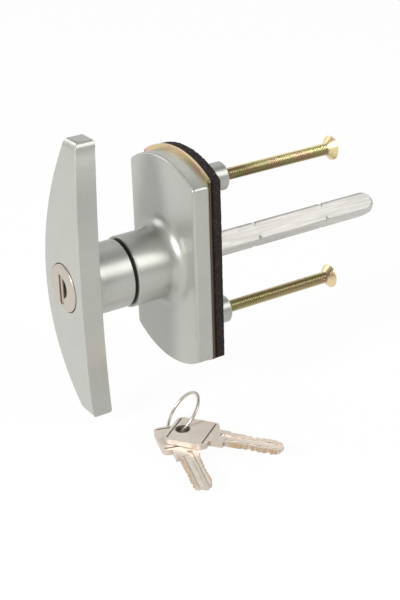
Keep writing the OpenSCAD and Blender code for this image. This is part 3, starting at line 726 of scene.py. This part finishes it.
def plate_sheet(name, sizes, side_out, end_out, front, thickness):
    """A sheet with the backplate's outline, let out by two distances: curved ends and rounded corners."""
    deselect_all()
    half, side_half = sizes.width / 2, sizes.side / 2
    end_arc = arc_radius(half, sizes.height / 2 - side_half)
    end_centre = sizes.height / 2 - end_arc
    half, end_arc = half + side_out, end_arc + end_out
    corner = sizes.corner
    corner_x = half - corner
    corner_z = end_centre + math.sqrt((end_arc - corner) ** 2 - corner_x ** 2)
    meet_x = corner_x * end_arc / (end_arc - corner)
    columns = 64
    bpy.ops.mesh.primitive_grid_add(x_subdivisions=columns, y_subdivisions=1, size=2, location=(0, front, 0),
                                    rotation=UPRIGHT)
    bpy.context.object.scale = (half, side_half, 1)
    sheet = keep_new(name)
    with editing(sheet):
        # From the sides to the middle, each column moves up or down to the outline, and out, so that
        # most columns stand in the corners.
        for i in range(columns // 2, -1, -1):
            even, x = half * 2 * i / columns, half * math.sin(math.pi * i / columns)
            if x > meet_x:
                z = corner_z + math.sqrt(corner ** 2 - (x - corner_x) ** 2)
            else:
                z = end_centre + math.sqrt(end_arc ** 2 - x ** 2)
            for side in WAYS if i else WAYS[:1]:
                for way in WAYS:
                    pick(sheet, "verts", lambda v: abs(v.co.x - side * even) < NEAR and v.co.z * way > 0)
                    bpy.ops.transform.translate(value=(side * (x - even), 0, way * (z - side_half)))
    modify(sheet, "SOLIDIFY", thickness=thickness, offset=-1)
    with editing(sheet):
        for way in WAYS:
            pick(sheet, "faces", lambda f: f.normal.y * way > FACING)
            bpy.ops.mesh.dissolve_faces()
    return sheet


class THANDLE_OT_backplate(bpy.types.Operator):
    """Models the hollow backplate with its boss and its two fixing lugs"""

    bl_idname = "thandle.backplate"
    bl_label = "Backplate Casting"

    def execute(self, context):
        sizes = context.scene.t_handle_plate
        front = LOW["backing_plate"].y - sizes.depth
        plate = plate_sheet("backplate_casting", sizes, 0, 0, front, sizes.depth)
        self.hollow_and_round(plate, sizes, front)
        join(plate, self.make_boss(sizes, front), *(self.make_lug(sizes, front, way) for way in WAYS))
        cut(plate, *self.bores(context.scene.t_handle_bar, sizes, front + sizes.wall))
        shade(plate, 40)
        place(plate, silver_paint(context.scene.t_handle_colours.paint), "backplate", "backplate")
        return {"FINISHED"}

    def hollow_and_round(self, plate, sizes, front):
        """Sinks the rear into a tray and rounds the front edge."""
        with editing(plate):
            pick(plate, "faces", lambda f: f.normal.y > FACING)
            bpy.ops.mesh.inset(thickness=sizes.wall, use_even_offset=True)
            bpy.ops.transform.translate(value=(0, sizes.wall - sizes.depth, 0))
            pick(plate, "edges", lambda e: is_sharp(e, 45) and all(v.co.y < front + NEAR for v in e.verts))
            bevel(sizes.edge, 5)

    def make_boss(self, sizes, front):
        """The turned boss, with a rounded rim and a fillet that runs out on the plate."""
        radius, fillet, rim = sizes.boss_diameter / 2, sizes.boss_fillet, 0.5 * MM
        # The fillet meets the boss at a slight corner, which shows as a crisp line.
        corner = 12
        centre = radius + fillet * math.cos(math.radians(corner))
        inside = front + sizes.wall / 2
        profile = rounding(radius - rim, HIGH["neck_seal"].y + rim, rim, 270, 360, 4)
        profile += rounding(centre, front - fillet, fillet, 180 - corner, 90, 10)
        profile += [(centre, inside), (radius, inside), (radius, front + sizes.wall)]
        return turned("boss", profile, 128)

    def make_lug(self, sizes, front, way):
        """A round lug with a wider root and a chamfered end."""
        radius, chamfer = sizes.lug_diameter / 2, 0.6 * MM
        root, end = radius + 0.4 * MM, HIGH["backplate"].y
        profile = [(root, front + sizes.wall / 2), (root, 0), (radius, 0), (radius, end - chamfer),
                   (radius - chamfer, end)]
        return turned("lug", profile, 64, way * sizes.lug_spacing / 2)

    def bores(self, bar, sizes, tray):
        """The bore for the spigot, the four locking grooves and the tapped holes."""
        bore = bar.spigot_diameter / 2 + 0.06 * MM
        yield drill("spigot_bore", bore, HIGH["neck_seal"].y - PAST, tray + PAST)
        reach, half = bore + 2.7 * MM, 3.3 * MM
        groove_front = LOW["locking_bolt"].y - 0.45 * MM
        for quarter in range(4):
            groove = box("locking_groove", (0, groove_front, -half), (reach, tray + PAST, half))
            yield settle(groove, rotation=(0, quarter * QUARTER, 0))
        end, thread = HIGH["backplate"].y, 2.5 * MM
        tapped = [(thread, end - 7.4 * MM), (thread, end - 0.5 * MM), (thread + 1.5 * MM, end + PAST)]
        for way in WAYS:
            yield turned("tapped_hole", tapped, 48, way * sizes.lug_spacing / 2)


class THANDLE_OT_gasket(bpy.types.Operator):
    """Models the backing plate and the foam gasket behind the casting"""

    bl_idname = "thandle.gasket"
    bl_label = "Gasket and Backing Plate"

    def execute(self, context):
        colours, node = context.scene.t_handle_colours, "backing_plate"
        backing = self.make_sheet("backing_sheet", context.scene, node)
        soften(backing, 0.2 * MM, 40)
        shade(backing)
        # The backing sheet's tone gets painted shade on its sides.
        finish = yellow_zinc("Yellow passivated sheet", colours.dark_zinc, shaded_sides,
                             span(node, 0) / 2, LOW[node].y, HIGH[node].y)
        place(backing, finish, "backplate", "backing_plate")
        foam = self.make_sheet("foam_gasket", context.scene, "gasket")
        self.roughen(foam)
        place(foam, cell_foam(colours.foam), "backplate", "gasket")
        return {"FINISHED"}

    def make_sheet(self, name, scene, node):
        """A sheet with the holes for the two lugs and the spigot."""
        sizes, front, rear = scene.t_handle_plate, LOW[node].y, HIGH[node].y
        sheet = plate_sheet(name, sizes, sizes.trim_side, sizes.trim_end, front, rear - front)
        settle(sheet, (0, 0, middle(node, 2)))
        ends = front - PAST, rear + PAST
        lug, spigot = sizes.lug_diameter / 2 + 0.7 * MM, scene.t_handle_bar.spigot_diameter / 2 + LOOSE
        cut(sheet, drill("centre_hole", spigot, *ends),
            *(drill("lug_hole", lug, *ends, 64, way * sizes.lug_spacing / 2) for way in WAYS))
        return sheet

    def roughen(self, foam):
        """Soft foam: rounded edges with a torn, uneven skin."""
        modify(foam, "REMESH", mode="VOXEL", voxel_size=0.5 * MM)
        modify(foam, "SMOOTH", factor=0.5, iterations=3)
        cells = bpy.data.textures.new("foam_cells", "CLOUDS")
        cells.noise_scale = 1.2 * MM
        modify(foam, "DISPLACE", texture=cells, texture_coords="LOCAL", strength=0.3 * MM, mid_level=1.0)
        shade(foam, 60)


class THANDLE_OT_screws(bpy.types.Operator):
    """Models the two countersunk screws with their thread and cross recess"""

    bl_idname = "thandle.screws"
    bl_label = "Fixing Screws"

    def execute(self, context):
        scene, sizes = context.scene, context.scene.t_handle_screw
        crest = sizes.thread / 2
        root = crest - sizes.groove
        # The screws' tone gets painted shade in the thread's roots.
        finish = yellow_zinc("Yellow passivated screw", scene.t_handle_colours.yellow_zinc, thread_root_shade,
                             scene.t_handle_plate.lug_spacing / 2, root, crest)
        upper = self.make_screw(sizes, root, crest)
        for screw, node in ((upper, "upper_fixing_screw"), (twin(upper), "lower_fixing_screw")):
            screw.name = screw.data.name = "screw_" + node.split("_")[0]
            settle(screw, (0, 0, middle(node, 2)))
            place(screw, finish, "backplate", node)
        return {"FINISHED"}

    def make_screw(self, sizes, root, crest):
        """A thread wound from one tooth, closed at its ends, joined to a head with a cross recess."""
        tip, end = LOW["upper_fixing_screw"].y, HIGH["upper_fixing_screw"].y
        core, head, rim, edge = root - 0.3 * MM, sizes.head / 2, 0.4 * MM, 0.1 * MM
        neck = end - rim - (head - crest)
        screw = self.wind_thread(sizes.pitch, root, crest, tip, neck + 0.6 * MM)
        profile = [(core, neck - 0.6 * MM), (core, neck - 0.4 * MM), (crest, neck)]
        profile += [(head - edge, end - rim - edge), (head, end - rim), (head, end - edge),
                    (head - 0.15 * MM, end)]
        cut(screw, box("tip_cut", (-head, tip - 2 * sizes.pitch, -head), (head, tip, head)))
        join(screw, turned("screw_head", profile, 48))
        cut(screw, *self.recess_wings(sizes.recess / 2, end))
        shade(screw)
        return screw

    def wind_thread(self, pitch, root, crest, tip, top):
        """Winds one tooth of the thread into a helix, and caps both ends."""
        deselect_all()
        centre = (root - pitch / 2, 0, pitch / 2)
        bpy.ops.mesh.primitive_plane_add(size=pitch, location=centre, rotation=UPRIGHT)
        thread = keep_new("screw_thread")
        with editing(thread):
            pick(thread, "verts", lambda v: v.co.x < centre[0])
            bpy.ops.mesh.delete(type="VERT")
            pick_all()
            bpy.ops.mesh.subdivide(number_cuts=5)
            # The tooth's middle point stands at its crest, and its two neighbours halfway.
            for low, high, out in ((0, 0.1, crest - root), (0.1, 0.2, (crest - root) / 2)):
                pick(thread, "verts", lambda v: low <= abs(v.co.z / pitch - 0.5) < high)
                bpy.ops.transform.translate(value=(out, 0, 0))
        turns, steps = int((top - tip) / pitch), 24
        modify(thread, "SCREW", axis="Z", angle=2 * math.pi, screw_offset=pitch, iterations=turns,
               steps=steps, render_steps=steps, use_merge_vertices=True, merge_threshold=NEAR)
        with editing(thread):
            pick_all()
            bpy.ops.mesh.remove_doubles(threshold=NEAR)
            close_holes()
            pick_all()
            bpy.ops.mesh.quads_convert_to_tris()
            bpy.ops.mesh.normals_make_consistent(inside=False)
        return settle(thread, (0, tip - pitch, 0), (-QUARTER, 0, 0))

    def recess_wings(self, half, end):
        """Two crossed, tapered wings, as a cross driver leaves them."""
        wing, taper = 0.55 * MM, (0.55, 1, 0.7)
        for angle in (0, QUARTER):
            cutter = box("recess_wing", (-half, end - 2.2 * MM, -wing), (half, end + 0.5 * MM, wing))
            with editing(cutter):
                pick(cutter, "verts", lambda v: v.co.y < end)
                bpy.ops.transform.resize(value=taper, center_override=(0, end, 0))
            yield settle(cutter, rotation=(0, angle, 0))


class THANDLE_OT_spindle(bpy.types.Operator):
    """Models the square spindle with its rounded end and snap-off nicks"""

    bl_idname = "thandle.spindle"
    bl_label = "Spindle"

    def execute(self, context):
        sizes = context.scene.t_handle_spindle
        start, end, half = LOW["spindle"].y, HIGH["spindle"].y, sizes.flats / 2
        reach = half * math.sqrt(2) - sizes.corner
        spindle = settle(box("square_spindle", (-half, start, -half), (half, end, half)), rotation=ON_CORNER)
        bullet = [(reach, start - PAST)]
        bullet += rounding(reach - sizes.end_arc, end - sizes.end, sizes.end_arc, 0,
                           math.degrees(math.asin(sizes.end / sizes.end_arc)), 10)
        keep_shared(spindle, turned("bullet", bullet, 128))
        for i in range(2):
            cut(spindle, self.make_nick(sizes.nick, reach, sizes.first_nick + i * sizes.nick_pitch))
        cut(spindle, cross_hole())
        soften(spindle, 0.15 * MM, 25)
        shade(spindle, 30)
        finish = bright_zinc("Bright zinc plate", context.scene.t_handle_colours.bright_zinc)
        place(spindle, finish, "handle", "spindle")
        return {"FINISHED"}

    def make_nick(self, depth, reach, y):
        """A ring with a V-shaped inside, which leaves a nick in each corner of the bar."""
        wide, rim = depth + MM, reach + MM
        ring = drill("nick_ring", rim, y - 2 * MM, y + 2 * MM, 64)
        core = [(reach + 2 * MM, y - 3 * MM), (rim - NEAR, y - wide), (reach - depth, y),
                (rim - NEAR, y + wide), (reach + 2 * MM, y + 3 * MM)]
        cut(ring, turned("nick_core", core, 64))
        return ring


class THANDLE_OT_seal(bpy.types.Operator):
    """Models the rubber seal between the shank and the boss"""

    bl_idname = "thandle.seal"
    bl_label = "Neck Seal"

    def execute(self, context):
        outer, lip = span("neck_seal", 0) / 2, 0.3 * MM
        inner = context.scene.t_handle_bar.spigot_diameter / 2 + LOOSE
        front, rear = LOW["neck_seal"].y, HIGH["neck_seal"].y
        profile = [(outer - 2 * lip, front)] + rounding(outer - lip, front + lip, lip, 270, 360, 4)
        profile += rounding(outer - lip, rear - lip, lip, 0, 90, 4) + [(outer - 2 * lip, rear)]
        seal = turned("rubber_seal", profile)
        cut(seal, drill("seal_hole", inner, front - PAST, rear + PAST))
        shade(seal)
        place(seal, seal_rubber(context.scene.t_handle_colours.rubber), "backplate", "neck_seal")
        return {"FINISHED"}


class THANDLE_OT_lock_face(bpy.types.Operator):
    """Models the lock's pressed face and finishes the shutter behind the keyhole"""

    bl_idname = "thandle.lock_face"
    bl_label = "Lock Face"

    def execute(self, context):
        colours = context.scene.t_handle_colours
        radius, chamfer, wall = span("face_cap", 0) / 2, 0.35 * MM, 0.5 * MM
        front, inner, rear = LOW["face_cap"].y, LOW["lock_plug"].y, HIGH["face_cap"].y
        profile = [(radius - 3 * chamfer, front), (radius - 1.6 * chamfer, front + 0.05 * MM)]
        profile += rounding(radius - chamfer, front + 1.3 * chamfer, chamfer, 300, 360, 4) + [(radius, rear)]
        cap = turned("lock_face", profile, 128)
        cut(cap, drill("cap_hollow", radius - wall, inner, rear + PAST))
        cut(cap, *self.keyhole(front - PAST, inner + PAST))
        soften(cap, 0.08 * MM, 50)
        shade(cap, 30)
        place(cap, satin_nickel(colours.face), "plug", "face_cap")
        shutter = plain_metal("Stamped nickel silver", colours.shutter, 0.3, 0.35, 0.55, 0.8 * MM)
        dress(frame["nodes"]["key_shutter"], shutter)
        return {"FINISHED"}

    def keyhole(self, front, rear):
        """A straight slot with a small foot, and a rounded side to its right."""
        left, bulge, half = -2.9 * MM, 3.1 * MM, 4.2 * MM
        yield box("key_slot", (left, front, -6.6 * MM), (0, rear, 4.8 * MM))
        yield box("key_foot", (left, front, -7.1 * MM), (-1.2 * MM, rear, -6 * MM))
        arc = arc_radius(half, bulge)
        side = settle(drill("key_bulge", arc, front, rear), (bulge - arc, 0, 0))
        keep_shared(side, box("bulge_side", (-0.5 * MM, front - PAST, -half),
                              (2 * bulge, rear + PAST, half)))
        yield side


class THANDLE_OT_keys(bpy.types.Operator):
    """Models the two flat keys"""

    bl_idname = "thandle.keys"
    bl_label = "Keys"

    def execute(self, context):
        sizes, colours = context.scene.t_handle_key, context.scene.t_handle_colours
        first = self.make_key(sizes)
        for key, node, degrees in ((first, "upper_key", 36), (twin(first), "lower_key", -17.5)):
            hole, heading = HINGE_AT[node + "_swing"], math.radians(degrees)
            key.name = key.data.name = "flat_" + node
            settle(key, hole, (0, 0, heading))
            name = "Nickel on brass, " + node.replace("_", " ")
            place(key, key_nickel(name, colours.key, colours.brass, hole, heading, sizes), node, node)
        return {"FINISHED"}

    def make_key(self, sizes):
        """A key along X, its hole at the origin: bow, collar and blade joined, then cut and grooved."""
        start = -sizes.hole_inset
        bow_end = start + sizes.bow_length
        collar_end = bow_end + sizes.collar
        tip = collar_end + sizes.blade_length
        thick, blade_thick = sizes.thickness / 2, sizes.blade_thickness / 2
        half, blade_half = sizes.bow_width / 2, sizes.blade_width / 2
        overlap, step = 2 * MM, 1.3 * MM
        key = box("flat_key", (start, -half, -thick), (bow_end, half, thick))
        with editing(key):
            pick(key, "edges", lambda e: climb(e) > thick)
            bevel(sizes.bow_round, 8)
        join(key, box("collar", (bow_end - overlap, -blade_half - step, -thick),
                      (collar_end, blade_half + step / 2, thick)))
        join(key, self.make_blade(collar_end - overlap, tip, blade_half, blade_thick))
        cut(key, self.make_cuts(collar_end, blade_half))
        past_tip = tip + PAST
        sunk = [
            ("blade_groove", (collar_end - 3 * MM, past_tip), (0, 1.8 * MM), blade_thick - 0.5 * MM),
            ("narrow_groove", (collar_end, past_tip), (-1.7 * MM, -2.4 * MM), blade_thick - 0.3 * MM),
        ]
        for x in (start + sizes.line_inset, bow_end - sizes.line_end):
            line = (x - sizes.line / 2, x + sizes.line / 2)
            sunk.append(("bow_line", line, (BOW_RIM - half, half - BOW_RIM), thick - 0.35 * MM))
        # The lower face has what the upper face has, turned half round the key's length.
        for way in WAYS:
            for name, x, y, floor in sunk:
                y, z = (sorted(way * value for value in pair) for pair in (y, (floor, 2 * thick)))
                cut(key, box(name, *zip(x, y, z)))
        deselect_all()
        bpy.ops.mesh.primitive_cylinder_add(vertices=64, radius=sizes.hole / 2, depth=4 * thick)
        cut(key, keep_new("key_hole"))
        soften(key, 0.14 * MM, 35)
        shade(key, 30)
        return key

    def make_blade(self, start, tip, half, thick):
        """The flat blade with a bevelled tip."""
        blade = box("blade", (start, -half, -thick), (tip, half, thick))
        with editing(blade):
            pick(blade, "edges", lambda e: climb(e) > thick and all(v.co.x > tip - NEAR for v in e.verts))
            bevel(2.2 * MM, 1)
        return blade

    def make_cuts(self, collar_end, half):
        """The trapezoid cuts of both edges, one pair for each wafer of the lock."""
        pitch, wafer_middle = 5 * MM, 0.55 * MM
        rows = ("upper_wafers", "lower_wafers")
        wafers = sorted(LOW[row].y + pitch * i for row in rows for i in range(3))
        cutters = []
        for y, depth in zip(wafers, (0.5, 1.0, 0.7, 0.3, 0.9, 0.6)):
            x = collar_end + y + wafer_middle - LOW["face_cap"].y
            cutters += [self.make_cut(x, half, depth * MM, turn) for turn in (0, math.pi)]
        join(*cutters)
        return cutters[0]

    def make_cut(self, x, half, depth, turn):
        """A cutter with a narrow floor and sloping sides, for one edge of the blade."""
        floor, thick = 0.35 * MM, 3 * MM
        cutter = box("key_cut", (x - floor, half - depth, -thick), (x + floor, half + PAST, thick))
        with editing(cutter):
            pick(cutter, "verts", lambda v: v.co.y > half)
            bpy.ops.transform.resize(value=(1 + (depth + PAST) / floor, 1, 1), center_override=(x, half, 0))
        return settle(cutter, rotation=(turn, 0, 0))


class THANDLE_OT_key_ring(bpy.types.Operator):
    """Models the wire ring that the keys hang on"""

    bl_idname = "thandle.key_ring"
    bl_label = "Key Ring"

    def execute(self, context):
        sizes, colours = context.scene.t_handle_key, context.scene.t_handle_colours
        lean, heading = math.radians(50), math.radians(248)
        centre = HINGE_AT["upper_key_swing"] + Vector((-8.6 * MM, 5.6 * MM, 1.9 * MM))
        deselect_all()
        bpy.ops.mesh.primitive_torus_add(major_radius=sizes.ring_diameter / 2, minor_radius=sizes.wire / 2,
                                         major_segments=144, minor_segments=20)
        ring = keep_new("wire_ring")
        self.open_gap(ring)
        settle(ring, centre, (0, lean, heading))
        shade(ring, 40)
        wire = plain_metal("Nickel-plated wire", colours.wire, 0.9, 0.25, 0.45, 1.5 * MM)
        place(ring, wire, "key_ring", "key_ring")
        return {"FINISHED"}

    def open_gap(self, ring):
        """Takes out two segments and closes both cut ends with faces."""
        gap = 0.8 * MM
        with editing(ring):
            pick(ring, "faces", lambda f: f.calc_center_median().x > 0
                 and -gap < f.calc_center_median().y < 0)
            bpy.ops.mesh.delete(type="FACE")
            close_holes()


class THANDLE_OT_lock_inside(bpy.types.Operator):
    """Finishes the pieces inside the handle and the boss"""

    bl_idname = "thandle.lock_inside"
    bl_label = "Lock Inside"

    def execute(self, context):
        colours = context.scene.t_handle_colours
        casting = plain_metal("Zinc die casting", colours.cast, 0.5, 0.4, 0.6, 1.2 * MM)
        brass = plain_metal("Stamped brass", colours.brass, 1.0, 0.25, 0.45, 0.8 * MM)
        steel = plain_metal("Spring steel", colours.steel, 1.0, 0.25, 0.45, 0.8 * MM)
        for finish, nodes in (
            (casting, ("lock_barrel", "lock_plug")),
            (brass, ("upper_wafers", "lower_wafers")),
            (steel, ("thrust_washer", "circlip", "spindle_pin", "plug_clip", "drive_pin", "shutter_spring",
                     "upper_wafer_springs", "lower_wafer_springs")),
            (bright_zinc("Bright zinc bolt", colours.bright_zinc), ("locking_bolt",)),
        ):
            for node in nodes:
                dress(frame["nodes"][node], finish)
        return {"FINISHED"}


class THANDLE_OT_stage(bpy.types.Operator):
    """Sets up the pale floor, the soft lights and the camera"""

    bl_idname = "thandle.stage"
    bl_label = "Stage"

    def execute(self, context):
        scene = context.scene
        scene.view_settings.view_transform = "Standard"
        self.lay_floor()
        self.light_world(scene)
        for name, location, size, watts in (
            ("Window light", (0.6, 0.43, 0.54), 0.5, 3.7),
            ("Front light", (0.2, -0.95, 0.46), 0.22, 9.3),
            ("Left light", (-0.75, -0.4, 0.45), 0.4, 1.8),
            ("Top light", (-0.45, 0.48, 0.7), 0.6, 1.0),
        ):
            self.hang_lamp(name, location, size, watts)
        self.aim_camera(scene)
        return {"FINISHED"}

    def lay_floor(self):
        """A wide floor under the keys, and a low curved wall behind the lock."""
        level, wall_radius, wall_height = (0, 0, LOW["key_ring"].z - 0.1 * MM), 2, 1.1
        behind = Vector((-0.85, 0.53, 0))
        deselect_all()
        bpy.ops.mesh.primitive_plane_add(size=60, location=level)
        floor = keep_new("floor")
        deselect_all()
        bpy.ops.mesh.primitive_circle_add(vertices=96, radius=wall_radius, location=level)
        backdrop = keep_new("backdrop")
        with editing(backdrop):
            pick(backdrop, "verts", lambda v: v.co.dot(behind) < wall_radius / 2)
            bpy.ops.mesh.delete(type="VERT")
            pick_all()
            bpy.ops.mesh.extrude_region_move(TRANSFORM_OT_translate={"value": (0, 0, wall_height)})
        paper = self.pale_paper()
        for piece in (floor, backdrop):
            dress(piece, paper)

    def pale_paper(self):
        """Pale paper that is white to the eye and in reflections, and lights the lock as paper does."""
        material, add, here = new_material("Pale paper floor")
        grain = add("TexNoise", Vector=here, Scale=across(2 * MM))
        tone = add("Mix", grain, rgba(srgb("F4F4F3")), rgba(srgb("F8F8F7")), **BLEND)
        ray = add("LightPath").outputs
        seen = ray["Is Camera Ray"]
        for kind in ("Is Glossy Ray", "Is Transmission Ray"):
            seen = add("Math", seen, ray[kind], operation="MAXIMUM")
        share = add("Math", seen, 0.95, operation="MULTIPLY")
        paper = add("MixShader", share, add("BsdfDiffuse", tone), add("Emission", Strength=1.0))
        add("OutputMaterial", Surface=paper)
        return material

    def light_world(self, scene):
        """A room that is white above the floor to the camera, and lights the lock dimly."""
        scene.world = bpy.data.worlds.new("Studio")
        scene.world.use_nodes = True
        scene.world.node_tree.nodes.clear()
        add = partial(shader_node, scene.world.node_tree)
        level = add("MapRange", add("LightPath").outputs["Is Camera Ray"], To_Min=0.31, To_Max=0.99)
        add("OutputWorld", Surface=add("Background", (1, 1, 1, 1), level))

    def hang_lamp(self, name, location, size, watts):
        """A square soft lamp that looks at the lock."""
        deselect_all()
        bpy.ops.object.light_add(type="AREA", location=location)
        lamp = bpy.context.object
        lamp.name = lamp.data.name = name
        lamp.data.size = size
        lamp.data.energy = watts
        lamp.rotation_euler = (-Vector(location)).to_track_quat("-Z", "Y").to_euler()

    def aim_camera(self, scene):
        """Stands the camera where the photograph was taken from: right, a little above, slightly rolled."""
        azimuth, elevation, roll = math.radians(58.13), math.radians(25.48), math.radians(1.85)
        distance, right_shift, up_shift = 557.04 * MM, 3.03 * MM, -18.82 * MM
        back = Vector((math.sin(azimuth) * math.cos(elevation), -math.cos(azimuth) * math.cos(elevation),
                       math.sin(elevation)))
        right = Vector((math.cos(azimuth), math.sin(azimuth), 0))
        up = back.cross(right)
        tilted_right = right * math.cos(roll) - up * math.sin(roll)
        tilted_up = right * math.sin(roll) + up * math.cos(roll)
        deselect_all()
        bpy.ops.object.camera_add(location=back * distance + right * right_shift + up * up_shift)
        camera = bpy.context.object
        camera.rotation_euler = Matrix((tilted_right, tilted_up, back)).transposed().to_euler()
        camera.data.sensor_width = 36
        camera.data.lens = 85.24
        camera.data.clip_start = 0.01
        scene.camera = camera


class THANDLE_PT_panel(bpy.types.Panel):
    """Lists the handle's pieces"""

    bl_label = "T Handle"
    bl_idname = "THANDLE_PT_panel"
    bl_space_type = "VIEW_3D"
    bl_region_type = "UI"
    bl_category = "T Handle"

    def draw(self, context):
        for operator in OPERATORS:
            self.layout.operator(operator.bl_idname)
        for name in GROUPS:
            group = getattr(context.scene, name)
            column = self.layout.column()
            for field in type(group).__annotations__:
                column.prop(group, field)


OPERATORS = (
    THANDLE_OT_handle, THANDLE_OT_backplate, THANDLE_OT_gasket, THANDLE_OT_screws, THANDLE_OT_spindle,
    THANDLE_OT_seal, THANDLE_OT_lock_face, THANDLE_OT_keys, THANDLE_OT_key_ring, THANDLE_OT_lock_inside,
    THANDLE_OT_stage,
)
GROUPS = {
    "t_handle_bar": THandleBarSizes,
    "t_handle_plate": THandlePlateSizes,
    "t_handle_screw": THandleScrewSizes,
    "t_handle_spindle": THandleSpindleSizes,
    "t_handle_key": THandleKeySizes,
    "t_handle_colours": THandleColours,
}


def register():
    for group in GROUPS.values():
        bpy.utils.register_class(group)
    for name, group in GROUPS.items():
        setattr(bpy.types.Scene, name, PointerProperty(type=group))
    for cls in (*OPERATORS, THANDLE_PT_panel):
        bpy.utils.register_class(cls)


def unregister():
    for cls in reversed((*OPERATORS, THANDLE_PT_panel)):
        bpy.utils.unregister_class(cls)
    for name, group in GROUPS.items():
        delattr(bpy.types.Scene, name)
        bpy.utils.unregister_class(group)


def main():
    register()
    for operator in OPERATORS:
        group, name = operator.bl_idname.split(".")
        getattr(getattr(bpy.ops, group), name)()
    deselect_all()


if __name__ == "__main__":
    main()
